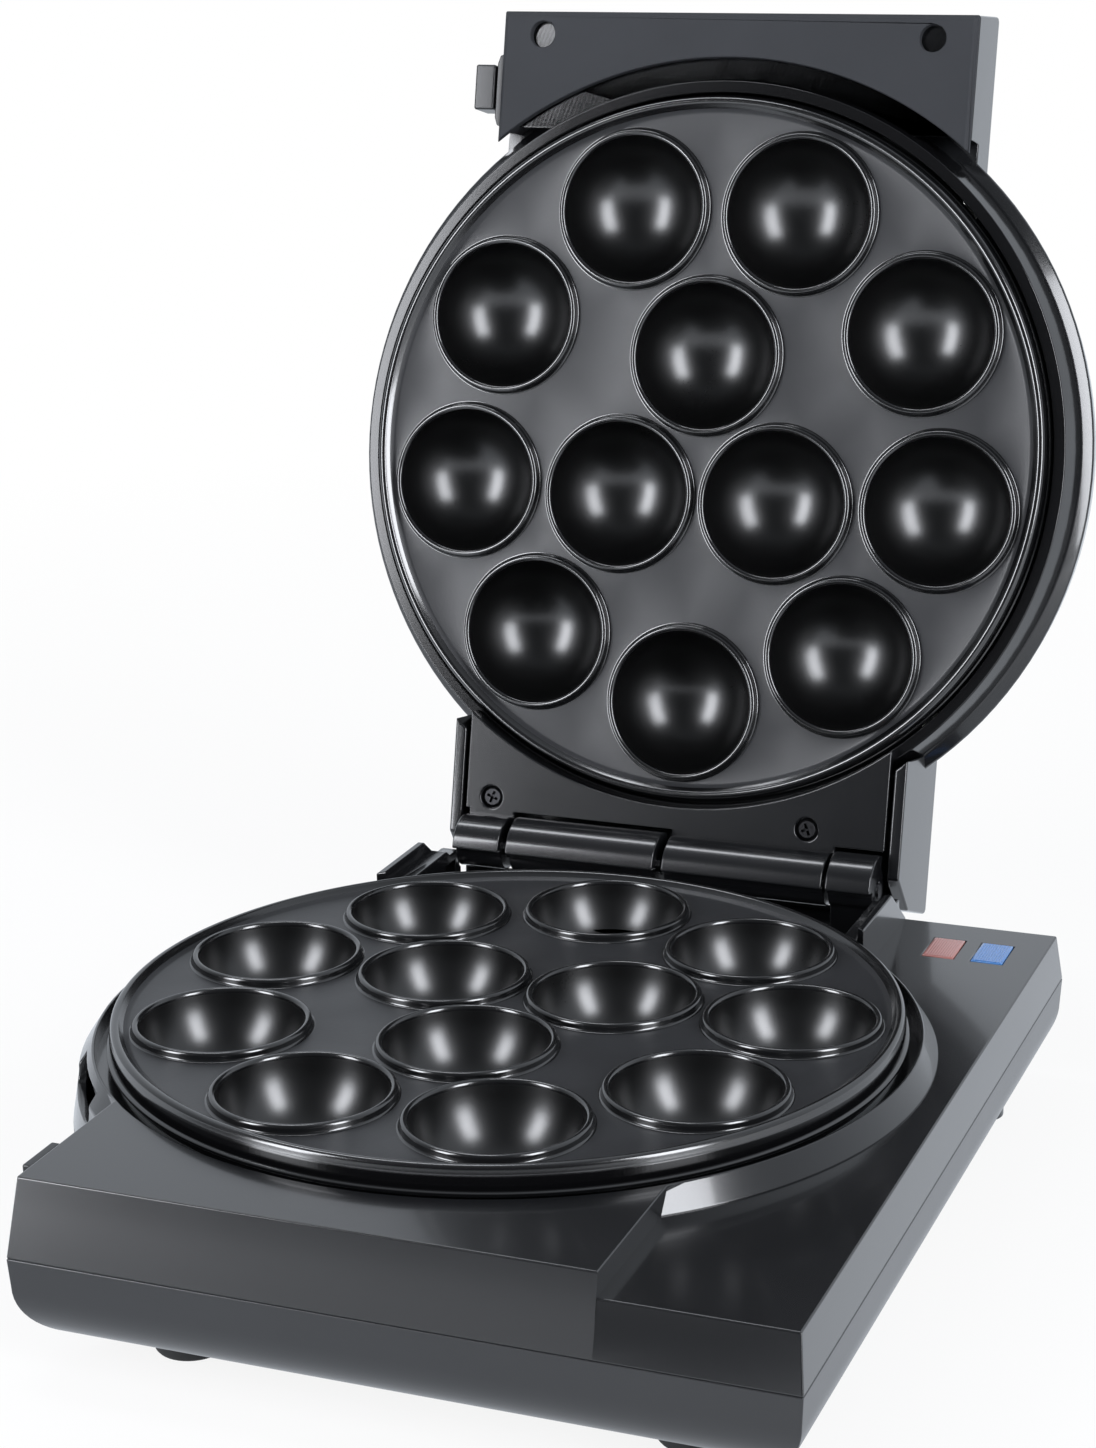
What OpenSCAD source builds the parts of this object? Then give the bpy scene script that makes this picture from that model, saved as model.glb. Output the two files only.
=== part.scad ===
// Electric cake pop maker with two round plates of twelve half-round cups each.
// The lid is drawn closed, then turned open about the rear hinge, as the product stands in use.
// Sizes are laid out from a point on the table under the middle of the lower plate, +Y towards
// the hinge. The finished part is moved so that its origin is under the middle of its outline.

/* [Baking plates] */
// Diameter over the plate's outer wall
plate_d = 194.4; // [188:0.2:206]
// Inner diameter of one half-round cup at its lip
cup_d = 40.1; // [37:0.1:41]
// Width of the raised lip round a cup
cup_lip_w = 1.75; // [1.4:0.05:1.9]
// Gap between the outer cups' lips and the plate's outer wall
cup_edge_gap = 5.4; // [4.8:0.1:6.2]
// Gap between the lips of the three inner cups
inner_cup_gap = 1.95; // [1.2:0.05:2.4]
// Thickness of the cast plate
plate_wall = 2.2; // [1.8:0.1:2.6]
// Depth of the flat field below the lips
field_drop = 2.25; // [1.6:0.05:2.8]
// Height of the plate's visible outer wall
plate_wall_h = 7; // [6:0.1:8]

/* [Base housing] */
// Height of the plate's lips above the table
lip_height = 52; // [50:0.5:60]
// Gap between the plate and the ring round it
trough_w = 4.3; // [3.6:0.1:5]
// Drop from the plate's lips to the front strip
deck_drop = 5.8; // [5:0.1:7]
// Step from the front strip down to the low right deck
deck_step = 5.5; // [4.5:0.1:6.5]
// Drop from the plate's lips to the seam between the two base shells
seam_drop = 24; // [23:0.2:25]
// Half width of the front strip at its top
strip_half_w = 67.8; // [66.5:0.1:69]
// Width of the low deck beside the front strip
low_deck_w = 43.5; // [40:0.5:50]
// How far the front strip reaches ahead of the plate
front_reach = 21.8; // [20:0.2:26]
// Radius of the rounded bottom edge
bottom_round = 15; // [10:0.5:15]
// Wall thickness of the plastic shells
shell_wall = 2.4; // [2:0.1:2.8]

/* [Lid housing] */
// Height of the lid's crown above the plate's lips
lid_height = 38; // [38:0.5:46]
// Height of the flat side edge of the lid above the plate's lips
lid_edge_h = 30.4; // [30:0.2:32]
// Height of the handle's inner face above the plate's lips
handle_face_h = 6; // [5.5:0.1:7]
// Thickness of the handle's inner cover and of the hinge cover
cover_t = 2.4; // [2:0.1:2.8]

/* [Hinge] */
// Distance from the plate's edge back to the hinge axis
hinge_setback = 18.6; // [18.4:0.1:20]
// Drop from the plate's lips to the hinge axis
hinge_drop = 3.94; // [3.7:0.02:4.2]
// Angle between the closed and the open lid
open_angle = 102.64; // [98:0.1:104]
// Outer radius of the lid's hinge knuckles
lid_knuckle_r = 9; // [8.6:0.1:9.2]
// Outer radius of the base's hinge knuckles
base_knuckle_r = 9.5; // [9.2:0.1:9.7]
// Diameter of the hinge pin
hinge_pin_d = 4; // [3:0.1:5]

/* [Release sliders] */
// Travel of each release slider
slider_travel = 5; // [3:0.1:5.4]
// Length of the lid slider's tab along the wall
lid_tab_len = 12.6; // [11:0.1:13]
// Height of the lid slider's tab
lid_tab_h = 10; // [9:0.1:10.4]
// How far the lid slider's tab stands out of the wall
lid_tab_out = 8.4; // [6:0.1:10]
// Length of the base slider's tab along the wall
base_tab_len = 13; // [12:0.1:14]
// How far the base slider's tab stands out of the wall
base_tab_out = 3.4; // [2:0.1:5]

/* [Lamps and feet] */
// Width of a lamp window
lamp_w = 8.4; // [7:0.1:9]
// Length of a lamp window
lamp_len = 13.8; // [12:0.1:15]
// Distance between the middles of the two lamp windows
lamp_spacing = 13.05; // [12.4:0.05:13.6]
// Radius of a rubber foot at the table
foot_r = 8; // [6:0.1:9]
// Height of a foot below the housing
foot_h = 6; // [5:0.1:8]
// Distance between the left and the right feet
foot_spacing = 120; // [110:1:124]

/* [Heating] */
// Diameter of the tubular heating element
element_d = 6.5; // [5.5:0.1:7]
// Air gap between the cups and the element
element_gap = 0.7; // [0.6:0.1:1]
// Thickness of the reflector's sheet metal
sheet_t = 0.6; // [0.5:0.1:0.7]

/* [Fixings] */
// Shank diameter of the housing screws
housing_screw_d = 3.5; // [3:0.1:4]
// Head diameter of the housing screws
housing_head_d = 7; // [6:0.1:7.4]
// Diameter of the screw wells in the handle's inner face
handle_well_d = 7.3; // [7.1:0.1:8]
// Head diameter of the screws in the lid
lid_head_d = 6; // [5:0.1:6.2]
// Shank diameter of the screws in the lid
lid_screw_d = 3; // [2.5:0.1:3.4]

/* [Hidden] */
$fn = 96;

// Small clearances: flat moving faces, curved moving faces, screw shanks and the hinge pin
gap = 0.3;
hole_gap = 0.05;
// Overshoot of a cutting solid beyond the face it opens
over = 1;
big = 400;

// Plate
plate_r = plate_d / 2;
cup_r = cup_d / 2;
lip_r = cup_lip_w / 2;
outer_circle_r = plate_r - cup_edge_gap - cup_lip_w - cup_r;
inner_circle_r = (2 * (cup_r + cup_lip_w) + inner_cup_gap) / sqrt(3);
outer_angles = [20, 60, 100, 140, 180, 220, 260, 300, 340];
inner_angles = [0, 120, 240];
post_angles = [40, 160, 280];
plate_flange_w = 0.8;
skirt_h = plate_wall_h + 2.4;
skirt_r = plate_r - 1;

// Element and reflector, as depths below the lips of the plate that they heat
element_r = (outer_circle_r + inner_circle_r) / 2;
tube_r = element_d / 2;
element_depth = cup_r + plate_wall + element_gap + tube_r;
clip_gap = 0.15;
clip_t = 0.8;
reflector_depth = element_depth + tube_r + clip_gap + clip_t + 1;
reflector_flange_r = plate_r - 0.9;
element_gap_angle = 6;
pin_below = 1.2;

// Base levels
lip_z = lip_height;
strip_z = lip_z - deck_drop;
low_z = strip_z - deck_step;
seam_z = lip_z - seam_drop;
floor_z = foot_h;
ledge_z = lip_z - skirt_h - sheet_t;
ledge_t = shell_wall;
lower_wall_z = floor_z + bottom_round;

// Base outline at the deck and at the seam
ring_edge_r = plate_r + trough_w;
ring_land_w = 0.6;
ring_slope_w = 3.5;
drum_r = ring_edge_r + 5.5;
strip_front_y = -(plate_r + front_reach);
seam_front_y = strip_front_y - 4.3;
low_right_x = strip_half_w + low_deck_w;
seam_right_x = low_right_x + 1.5;
seam_left_x = -(strip_half_w + 1.6);
hinge_y = plate_r + hinge_setback;
hinge_z = lip_z - hinge_drop;
deck_rear_y = hinge_y + 0.2;
seam_rear_y = hinge_y + 2.6;

// Rear side walls and the well for the hinge between them
horn_out_x = strip_half_w + 1.5;
horn_in_x = strip_half_w - 5.3;
horn_ledge_x = strip_half_w - 0.6;
horn_top_z = lip_z;
horn_ledge_z = lip_z - 4;
horn_start_y = hinge_y - 43.8;
horn_slope_y = hinge_y - 13.3;
well_floor_z = hinge_z - 12.06;

// Hinge knuckles along X, with their joints
knuckle_joints = [-(strip_half_w - 7), -(strip_half_w - 22.1), 0.7, strip_half_w - 19.8, strip_half_w - 6];
knuckle_gap = 1.2;
barrel_r = hinge_pin_d / 2 + 4;
curl_start = 60;
curl_end = 170;

// Lid, as heights above the plate's lips when it is closed
lid_lip_h = 4.5;
lid_lip_in_r = plate_r + 1.3;
lid_lip_out_r = plate_r + 4.5;
band_top_h = 14;
band_r = plate_r + 6.7;
lid_widest_h = 16;
lid_widest_r = plate_r + 10.1;
lid_edge_r = plate_r + 7.8;
lid_ledge_h = skirt_h + sheet_t;
dome_r = lid_edge_r - 6;
handle_half_w = strip_half_w - 0.6;
handle_bevel = 1.2;
handle_front_y = strip_front_y;
handle_top_h = lid_edge_h - 0.6;
trough_out_r = plate_r + 11.1;
hinge_cover_h = -1.5;
hinge_cover_half_w = strip_half_w - 5.8;
cheek_in_x = strip_half_w - 4.6;
cheek_out_x = strip_half_w - 1.2;
hinge_cover_r = plate_r + 2.1;
barrel_room_r = base_knuckle_r + 0.8;

// Screw places
housing_screw_spots = [[-strip_half_w + 11.8, strip_front_y + 13], [low_right_x - 11.3, strip_front_y + 13],
                       [low_right_x - 8.3, 70], [-strip_half_w + 11.8, hinge_y - 9.8],
                       [-(plate_r + 1.3), 0]];
housing_shank_r = housing_screw_d / 2;
housing_head_r = housing_head_d / 2;
housing_screw_top_z = seam_z + 6.5;
housing_head_z = floor_z + 8;
housing_head_t = 2.5;
post_r = housing_head_r + 0.4 + 1.5;
boss_r = housing_shank_r + 2.5;
handle_screw_x = handle_half_w - 10.9;
handle_screw_y = handle_front_y + 5;
handle_well_r = handle_well_d / 2;
handle_well_h = handle_face_h + 6;
hinge_screw_spots = [[-(hinge_cover_half_w - 7.8), hinge_y - 14], [hinge_cover_half_w - 22.4, hinge_y - 14.2]];
lid_head_r = lid_head_d / 2;
lid_shank_r = lid_screw_d / 2;
head_h = 1.8;
lid_screw_grip = 12;
frame_screw_len = 11;
frame_screw_r = plate_r - 0.2;
frame_screw_angles = [45, 135, 225, 315];

// Lamps
lamp_y = hinge_y - 18.3;
lamp_mid_x = low_right_x - 19.8;
lamp_xs = [lamp_mid_x - lamp_spacing / 2, lamp_mid_x + lamp_spacing / 2];
lamp_flange = 1;
lamp_cell_floor = 1.2;
lamp_bulb_r = 2.2;
lamp_holder_h = 7;

// Base release slider, in the left wall of the strip
carriage_t = 3.4;
carriage_h = 5.2;
carriage_len = 16;
spring_len = 8.4;
spring_r = 1.6;
ring_wall_y = -sqrt(pow(ring_edge_r + ring_slope_w, 2) - pow(strip_half_w, 2));
base_rail_len = carriage_len + spring_len + 4.8;
base_tab_y = min(strip_front_y + 8, ring_wall_y - base_rail_len);
base_tab_top_z = strip_z - 1.2;
base_tab_h = 6;
base_slot_z = strip_z - 7.2;
slider_neck_len = 6;
slider_neck_h = 3.2;
base_wall_in_x = -(strip_half_w + 0.2 - shell_wall);
base_wall_out_x = -(strip_half_w + 0.7);

// Lid release slider, in the left wall of the handle
lid_carriage_len = 12;
lid_spring_len = 9;
carriage_in_x = handle_half_w + 1.4 - shell_wall - carriage_t;
trough_wall_y = -sqrt(pow(trough_out_r + shell_wall, 2) - pow(carriage_in_x, 2));
lid_tab_mid_y = min(strip_front_y + 19.7, trough_wall_y - lid_carriage_len / 2 - 1);
lid_tab_mid_h = handle_face_h + 7;
lid_wall_out_x = -(handle_half_w + 1.2);
lid_wall_in_x = lid_wall_out_x + shell_wall + 0.2;
bezel_out = 2.1;
bezel_len = 21;
bezel_h = 9.6;

// Feet
foot_mid_x = (seam_left_x + seam_right_x) / 2;
foot_xs = [foot_mid_x - foot_spacing / 2, foot_mid_x + foot_spacing / 2];
foot_front_y = strip_front_y + 21;
foot_rear_y = hinge_y - 21;
foot_seat = 1;

// Middle of the outline of the part as it stands with its lid open
rear_corner = [handle_front_y - 1 - hinge_y, handle_top_h + hinge_drop];
rear_reach = hinge_y + rear_corner.x * cos(open_angle) + rear_corner.y * sin(open_angle);
middle_x = (seam_right_x - drum_r) / 2;
middle_y = (seam_front_y + rear_reach) / 2;

// Points of an arc round (x, y) from angle a0 to a1
function arc(x, y, r, a0, a1, n = 16) = [for (i = [0:n]) let (a = a0 + (a1 - a0) * i / n)
    [x + r * cos(a), y + r * sin(a)]];

// Centres of the cups, seen from above with the hinge at the back
function cup_centres() = concat(
    [for (a = outer_angles) [outer_circle_r * sin(a), -outer_circle_r * cos(a)]],
    [for (a = inner_angles) [inner_circle_r * sin(a), -inner_circle_r * cos(a)]]);

// An outline in the Y-Z plane, extruded from x0 to x1
module along_x(x0, x1) {
    translate([x0, 0, 0]) rotate([90, 0, 90]) linear_extrude(x1 - x0) children();
}

// An outline in the X-Z plane, extruded from y0 to y1
module along_y(y0, y1) {
    translate([0, y1, 0]) rotate([90, 0, 0]) linear_extrude(y1 - y0) children();
}

// A block from z0 to z1 whose four walls lean in by the given amounts at the top
module drafted_block(x0, x1, y0, y1, z0, z1, in_x0, in_x1, in_y0, in_y1) {
    intersection() {
        along_y(y0 - over, y1 + over)
            polygon([[x0, z0], [x1, z0], [x1 - in_x1, z1], [x0 + in_x0, z1]]);
        along_x(x0 - over, x1 + over)
            polygon([[y0, z0], [y1, z0], [y1 - in_y1, z1], [y0 + in_y0, z1]]);
    }
}

module box(x0, x1, y0, y1, z0, z1) {
    translate([x0, y0, z0]) cube([x1 - x0, y1 - y0, z1 - z0]);
}

// A straight eight-sided bar between two points
module bar(a, b, r) {
    d = b - a;
    translate(a) rotate([0, acos(d.z / norm(d)), atan2(d.y, d.x)]) cylinder(r = r, h = norm(d), $fn = 8);
}

// Turns a closed lid piece, drawn from the plate's lips upwards, into the open pose
module open_lid() {
    translate([0, hinge_y, hinge_z]) rotate([-open_angle, 0, 0])
        translate([0, -hinge_y, -hinge_z + lip_z]) children();
}

// Moves a finished piece so that the origin lies under the middle of the part's outline
module placed() {
    translate([-middle_x, -middle_y, 0]) children();
}

// One baking plate, face up with its lips at z = 0
module baking_plate() {
    difference() {
        union() {
            rotate_extrude() polygon([
                [0, -field_drop], [plate_r - 4.6, -field_drop], [plate_r - 2.9, -0.9],
                [plate_r - 2.2, 0], [plate_r - 1, 0], [plate_r - 0.2, -0.8], [plate_r, -1.6],
                [plate_r, -plate_wall_h + 1], [plate_r + plate_flange_w, -plate_wall_h + 1],
                [plate_r + plate_flange_w, -plate_wall_h], [skirt_r, -plate_wall_h], [skirt_r, -skirt_h],
                [skirt_r - 1.8, -skirt_h], [skirt_r - 1.8, -field_drop - plate_wall],
                [0, -field_drop - plate_wall]]);
            for (p = cup_centres()) translate([p.x, p.y, 0]) cup_outside();
            for (a = post_angles) rotate(a) translate([0, -element_r, -element_depth + tube_r + 0.05])
                cylinder(r = tube_r, h = element_depth - tube_r - 0.05 - field_drop - plate_wall / 2);
        }
        for (p = cup_centres()) translate([p.x, p.y, 0]) sphere(r = cup_r);
    }
}

module cup_outside() {
    intersection() {
        sphere(r = cup_r + plate_wall);
        translate([0, 0, -big - field_drop]) cylinder(r = big, h = big);
    }
    rotate_extrude() {
        translate([cup_r + lip_r, -lip_r]) circle(r = lip_r, $fn = 32);
        translate([cup_r - 0.4, -field_drop - 0.2]) square([cup_lip_w + 0.4, field_drop + 0.2 - lip_r]);
    }
}

module reflector_pan() {
    outer_r = reflector_flange_r;
    difference() {
        rotate_extrude() polygon([
        [outer_r, -skirt_h], [outer_r, -skirt_h - sheet_t], [plate_r - 4.4, -skirt_h - sheet_t],
        [plate_r - 5.4, -skirt_h - 5.2], [plate_r - 18, -element_depth - 1.2],
        [element_r + 12, -reflector_depth - sheet_t], [0, -reflector_depth - sheet_t],
        [0, -reflector_depth], [element_r + 11.8, -reflector_depth],
        [plate_r - 18.4, -element_depth - 0.6], [plate_r - 6, -skirt_h - 4.9],
        [plate_r - 5, -skirt_h]]);
        for (a = [90 - element_gap_angle, 90 + element_gap_angle]) rotate(a)
            translate([element_r, 0, -reflector_depth - sheet_t - over])
                cylinder(r = tube_r + 0.4 + gap, h = sheet_t + 2 * over, $fn = 32);
    }
}

// Ring element whose two ends plug into upright cold pins
module tubular_element() {
    difference() {
        translate([0, 0, -element_depth]) rotate_extrude() translate([element_r, 0]) circle(r = tube_r, $fn = 32);
        translate([0, 0, -element_depth - tube_r - over]) linear_extrude(element_d + 2 * over)
            polygon(concat([[0, 0]], arc(0, 0, 2 * element_r, 90 - element_gap_angle, 90 + element_gap_angle, 4)));
    }
    for (a = [90 - element_gap_angle, 90 + element_gap_angle])
        rotate(a) translate([element_r, 0, -reflector_depth - sheet_t - pin_below])
            cylinder(r = tube_r + 0.4, h = reflector_depth + sheet_t + pin_below - element_depth + tube_r + 0.3, $fn = 32);
}

// U-shaped strap that clamps the element to a post of the plate
module element_strap() {
    strap_w = 6;
    in_w = tube_r + clip_gap;
    out_w = in_w + clip_t;
    leg = 8;
    translate([0, 0, -element_depth]) difference() {
        union() {
            rotate([0, 90, 0]) translate([0, 0, -strap_w / 2]) cylinder(r = out_w, h = strap_w);
            box(-strap_w / 2, strap_w / 2, -out_w, out_w, 0, leg);
        }
        rotate([0, 90, 0]) translate([0, 0, -strap_w]) cylinder(r = in_w, h = 2 * strap_w);
        box(-strap_w, strap_w, -in_w, in_w, 0, leg + over);
    }
}

module element_straps() {
    for (a = post_angles) rotate(a) translate([0, -element_r, 0]) element_strap();
}

// A screw with its head below, its shank up, and a cross recess in the head
module screw(head_r, head_t, shank_r, length, countersunk = false) {
    difference() {
        union() {
            if (countersunk) rotate_extrude() polygon([[0, 0], [head_r, 0], [shank_r, head_t], [0, head_t]]);
            else cylinder(r = head_r, h = head_t, $fn = 48);
            cylinder(r = shank_r, h = length, $fn = 48);
        }
        for (a = [0, 90]) rotate(a) translate([-head_r * 0.6, -0.4, -over]) cube([head_r * 1.2, 0.8, over + 1]);
    }
}

// Outline of one hinge knuckle round the hinge axis: barrel and outer curl
module knuckle_outline(r, a0, a1) {
    circle(r = barrel_r);
    polygon(concat([[0, 0]], arc(0, 0, r, a0, a1, 24)));
}

// Solid outer form of the raised strip, the low deck and the rear side walls
module base_top_outside() {
    z = seam_z;
    drafted_block(seam_left_x, strip_half_w + 0.2, seam_front_y, seam_rear_y, z, strip_z,
                  1.6, 0.2, 4.3, seam_rear_y - deck_rear_y);
    drafted_block(0, seam_right_x, seam_front_y, seam_rear_y, z, low_z,
                  0, 1.5, 3.3, seam_rear_y - deck_rear_y);
}

module base_top_inside() {
    w = shell_wall;
    z = seam_z - over;
    drafted_block(seam_left_x + w, strip_half_w - w, seam_front_y + w, seam_rear_y - w, z, strip_z - w,
                  1.6, 0.2, 4.3, seam_rear_y - deck_rear_y);
    drafted_block(0, seam_right_x - w, seam_front_y + w, seam_rear_y - w, z, low_z - w,
                  0, 1.5, 3.3, seam_rear_y - deck_rear_y);
}

module horns() {
    difference() {
        for (s = [0, 1]) mirror([s, 0, 0])
            along_x(horn_in_x, horn_out_x) polygon([
                [horn_start_y, well_floor_z - shell_wall], [horn_start_y, horn_top_z],
                [horn_slope_y, horn_top_z], [seam_rear_y - 1, low_z], [seam_rear_y - 1, well_floor_z - shell_wall]]);
        box(-horn_ledge_x, horn_ledge_x, 0, big, horn_ledge_z, horn_top_z + over);
        translate([0, 0, well_floor_z - 2 * shell_wall]) cylinder(r = ring_edge_r, h = big);
    }
}

// Ring round the plate: ledge, trough wall and outer slope
module plate_ring() {
    foot_z = ledge_z - ledge_t;
    rotate_extrude() polygon([
        [plate_r - 4, foot_z], [plate_r - 4, ledge_z], [ring_edge_r - ring_land_w - 0.3, ledge_z],
        [ring_edge_r - ring_land_w, strip_z], [ring_edge_r, strip_z],
        [ring_edge_r + ring_slope_w, low_z + 0.3], [ring_edge_r + ring_slope_w, foot_z]]);
}

// Round side wall of the base where the drum stands out to the left
module drum_wall() {
    top_z = ledge_z - ledge_t;
    r = ring_edge_r + ring_slope_w;
    difference() {
        rotate_extrude() polygon([
            [r, top_z], [r + 0.2, lip_z - 14], [drum_r, seam_z], [drum_r - shell_wall, seam_z],
            [r + 0.2 - shell_wall, lip_z - 14], [r - shell_wall, top_z]]);
        box(seam_left_x + shell_wall, big, -big, big, 0, big);
    }
}

module base_top_shell() {
    color([0.14, 0.15, 0.16]) difference() {
        union() {
            difference() {
                union() {
                    base_top_outside();
                    horns();
                }
                base_top_inside();
                // Room inside the drum, and the well that the plate sits in
                translate([0, 0, seam_z - over]) cylinder(r = ring_edge_r + 1, h = ledge_z - ledge_t - seam_z + over);
                translate([0, 0, seam_z]) cylinder(r = ring_edge_r - ring_land_w, h = big);
                hinge_well();
            }
            plate_ring();
            drum_wall();
            difference() {
                union() {
                    box(-horn_in_x - over, horn_in_x + over, plate_r - 25, seam_rear_y - 1,
                        well_floor_z - shell_wall, well_floor_z);
                    well_walls();
                }
                translate([0, 0, well_floor_z - 2 * shell_wall]) cylinder(r = ring_edge_r + 1, h = big);
            }
            base_knuckles();
            for (p = housing_screw_spots) screw_boss(p);
            slider_rails();
            translate([lamp_mid_x - 1.5, seam_rear_y - 2.6, (seam_z + low_z) / 2 - 0.8]) rotate([-90, 0, 0])
                cylinder(r = 5.4, h = 2.8);
        }
        // Pilot holes of the housing screws
        for (p = housing_screw_spots) translate([p.x, p.y, seam_z - over])
            cylinder(r = housing_shank_r + hole_gap, h = housing_screw_top_z + 0.5 - seam_z + over, $fn = 48);
        // Lamp windows
        for (x = lamp_xs) box(x - lamp_w / 2 - hole_gap, x + lamp_w / 2 + hole_gap, lamp_y - lamp_len / 2 - hole_gap,
            lamp_y + lamp_len / 2 + hole_gap, low_z - 2 * shell_wall, low_z + over);
        // Slot of the release slider in the strip's left wall
        box(seam_left_x - over, base_wall_in_x + 0.4, base_tab_y + 4 - gap,
            base_tab_y + 4 + slider_neck_len + slider_travel + gap, base_slot_z - gap, base_slot_z + slider_neck_h + gap);
        // Vent in the ring's left front
        intersection() {
            rotate_extrude() translate([ring_edge_r + 0.4, lip_z - 16]) square([big, 8]);
            translate([0, 0, lip_z - 20]) linear_extrude(20)
                polygon(concat([[0, 0]], arc(0, 0, 2 * plate_r, 207.5, 222, 4)));
        }
        // Bore for the cord bushing
        translate([lamp_mid_x - 1.5, seam_rear_y - 8, (seam_z + low_z) / 2 - 0.8]) rotate([-90, 0, 0])
            cylinder(r = 3.9 + hole_gap, h = 20);
        hinge_bore();
    }
}

module hinge_well() {
    difference() {
        box(-horn_in_x, horn_in_x, plate_r - 35, big, well_floor_z, big);
        translate([0, 0, well_floor_z - over]) cylinder(r = ring_edge_r, h = big);
    }
}

// Inner side walls of the hinge well below the rear side walls
module well_walls() {
    for (s = [0, 1]) mirror([s, 0, 0])
        box(horn_in_x, horn_in_x + shell_wall, plate_r - 25, seam_rear_y - 1, well_floor_z - shell_wall, low_z - 1);
}

module screw_boss(p) {
    top_z = p.y > hinge_y - 20 ? well_floor_z - shell_wall / 2
        : p.x < -strip_half_w ? ledge_z - ledge_t / 2 : p.x < strip_half_w ? strip_z - shell_wall / 2
        : low_z - shell_wall / 2;
    translate([p.x, p.y, seam_z]) cylinder(r = boss_r, h = top_z - seam_z);
}

// Rails under the strip that guide the release slider's carriage
module slider_rails() {
    y0 = base_tab_y + 1;
    y1 = y0 + carriage_len + spring_len + 2 * gap;
    x_in = base_wall_in_x + carriage_t + 2 * gap;
    z0 = base_slot_z + slider_neck_h / 2 - carriage_h / 2 - gap;
    box(x_in, x_in + 1.6, y0 - 2, y1 + 1.6, z0 - 1.6, strip_z - shell_wall / 2);
    box(base_wall_in_x + 1, x_in + 1, y0 - 2, y1 + 1.6, z0 - 1.6, z0);
    box(base_wall_in_x - 0.6, x_in + 1, y1, y1 + 1.6, z0 - 1.6, strip_z - shell_wall / 2);
}

module base_knuckles() {
    translate([0, hinge_y, hinge_z]) for (i = [1, 3])
        along_x(knuckle_joints[i] + knuckle_gap, knuckle_joints[i + 1] - (i == 1 ? knuckle_gap : 0)) {
            knuckle_outline(base_knuckle_r, curl_start, curl_end);
            translate([-3.5, well_floor_z - shell_wall / 2 - hinge_z])
                square([5.1, hinge_z - well_floor_z + shell_wall / 2]);
        }
}

module hinge_bore() {
    translate([-big / 2, hinge_y, hinge_z]) rotate([0, 90, 0])
        cylinder(r = hinge_pin_d / 2 + hole_gap, h = big, $fn = 64);
}

// Outer form of the lower tray, with the given inset of every face
module base_bottom_form(inset) {
    r = bottom_round - inset;
    z0 = floor_z + inset;
    z1 = lower_wall_z;
    lean = 0.4;
    x0 = seam_left_x + inset;
    x1 = seam_right_x - inset;
    y0 = seam_front_y + inset;
    y1 = seam_rear_y - inset;
    top_z = seam_z + (inset > 0 ? over : 0);
    intersection() {
        along_y(y0 - over, y1 + over) polygon(concat(
            [[x0, top_z]], arc(x0 + lean + r, z1, r, 180, 270), arc(x1 - lean - r, z1, r, 270, 360),
            [[x1, top_z]]));
        along_x(x0 - over, x1 + over) polygon(concat(
            [[y0, top_z]], arc(y0 + lean + r, z1, r, 180, 270), arc(y1 - lean - r, z1, r, 270, 360),
            [[y1, top_z]]));
    }
    rotate_extrude() polygon(concat(
        [[0, top_z], [0, z0]], arc(drum_r - inset - lean - r, z1, r, 270, 360), [[drum_r - inset, top_z]]));
}

module base_bottom_shell() {
    color([0.10, 0.105, 0.11]) difference() {
        union() {
            difference() {
                base_bottom_form(0);
                base_bottom_form(shell_wall);
            }
            for (p = housing_screw_spots) translate([p.x, p.y, floor_z + shell_wall / 2])
                cylinder(r = post_r, h = seam_z - floor_z - shell_wall / 2);
            for (x = foot_xs, y = [foot_front_y, foot_rear_y]) translate([x, y, floor_z + shell_wall / 2])
                cylinder(r = 6, h = shell_wall);
        }
        for (p = housing_screw_spots) translate([p.x, p.y, 0]) {
            cylinder(r = housing_head_r + 0.4, h = housing_head_z, $fn = 48);
            cylinder(r = housing_shank_r + hole_gap, h = big, $fn = 48);
        }
        for (x = foot_xs, y = [foot_front_y, foot_rear_y]) translate([x, y, floor_z - over]) {
            cylinder(r = foot_r + 1.5, h = foot_seat + over);
            cylinder(r = 2.5, h = 4 + over);
        }
    }
}

module base_plate() {
    color([0.12, 0.12, 0.125]) translate([0, 0, lip_z]) baking_plate();
}

module base_reflector() {
    color([0.75, 0.76, 0.78]) translate([0, 0, lip_z]) reflector_pan();
}

module base_element() {
    color([0.35, 0.36, 0.36]) translate([0, 0, lip_z]) tubular_element();
}

module base_element_clips() {
    color([0.7, 0.7, 0.72]) translate([0, 0, lip_z]) element_straps();
}

// Disc thermostat under the middle of the reflector, with its two tabs
module base_thermostat() {
    top_z = lip_z - reflector_depth - sheet_t;
    color([0.85, 0.8, 0.68]) {
        translate([0, 0, top_z - 6]) cylinder(r = 11, h = 6);
        for (s = [-1, 1]) box(s * 6 - 1.5, s * 6 + 1.5, -3, 3, top_z - 8.5, top_z - 5.5);
    }
}

// Fuse capsule with its two wire ends, lying on the reflector's floor
module fuse_body() {
    fuse_r = 2.1;
    translate([0, 30, -reflector_depth + fuse_r + hole_gap]) rotate([0, 90, 0]) {
        cylinder(r = fuse_r, h = 20, center = true, $fn = 48);
        cylinder(r = 0.6, h = 34, center = true, $fn = 24);
    }
}

module base_thermal_fuse() {
    color([0.9, 0.9, 0.86]) translate([0, 0, lip_z]) fuse_body();
}

terminal_x = low_right_x - 28;
terminal_y = 40;

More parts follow.
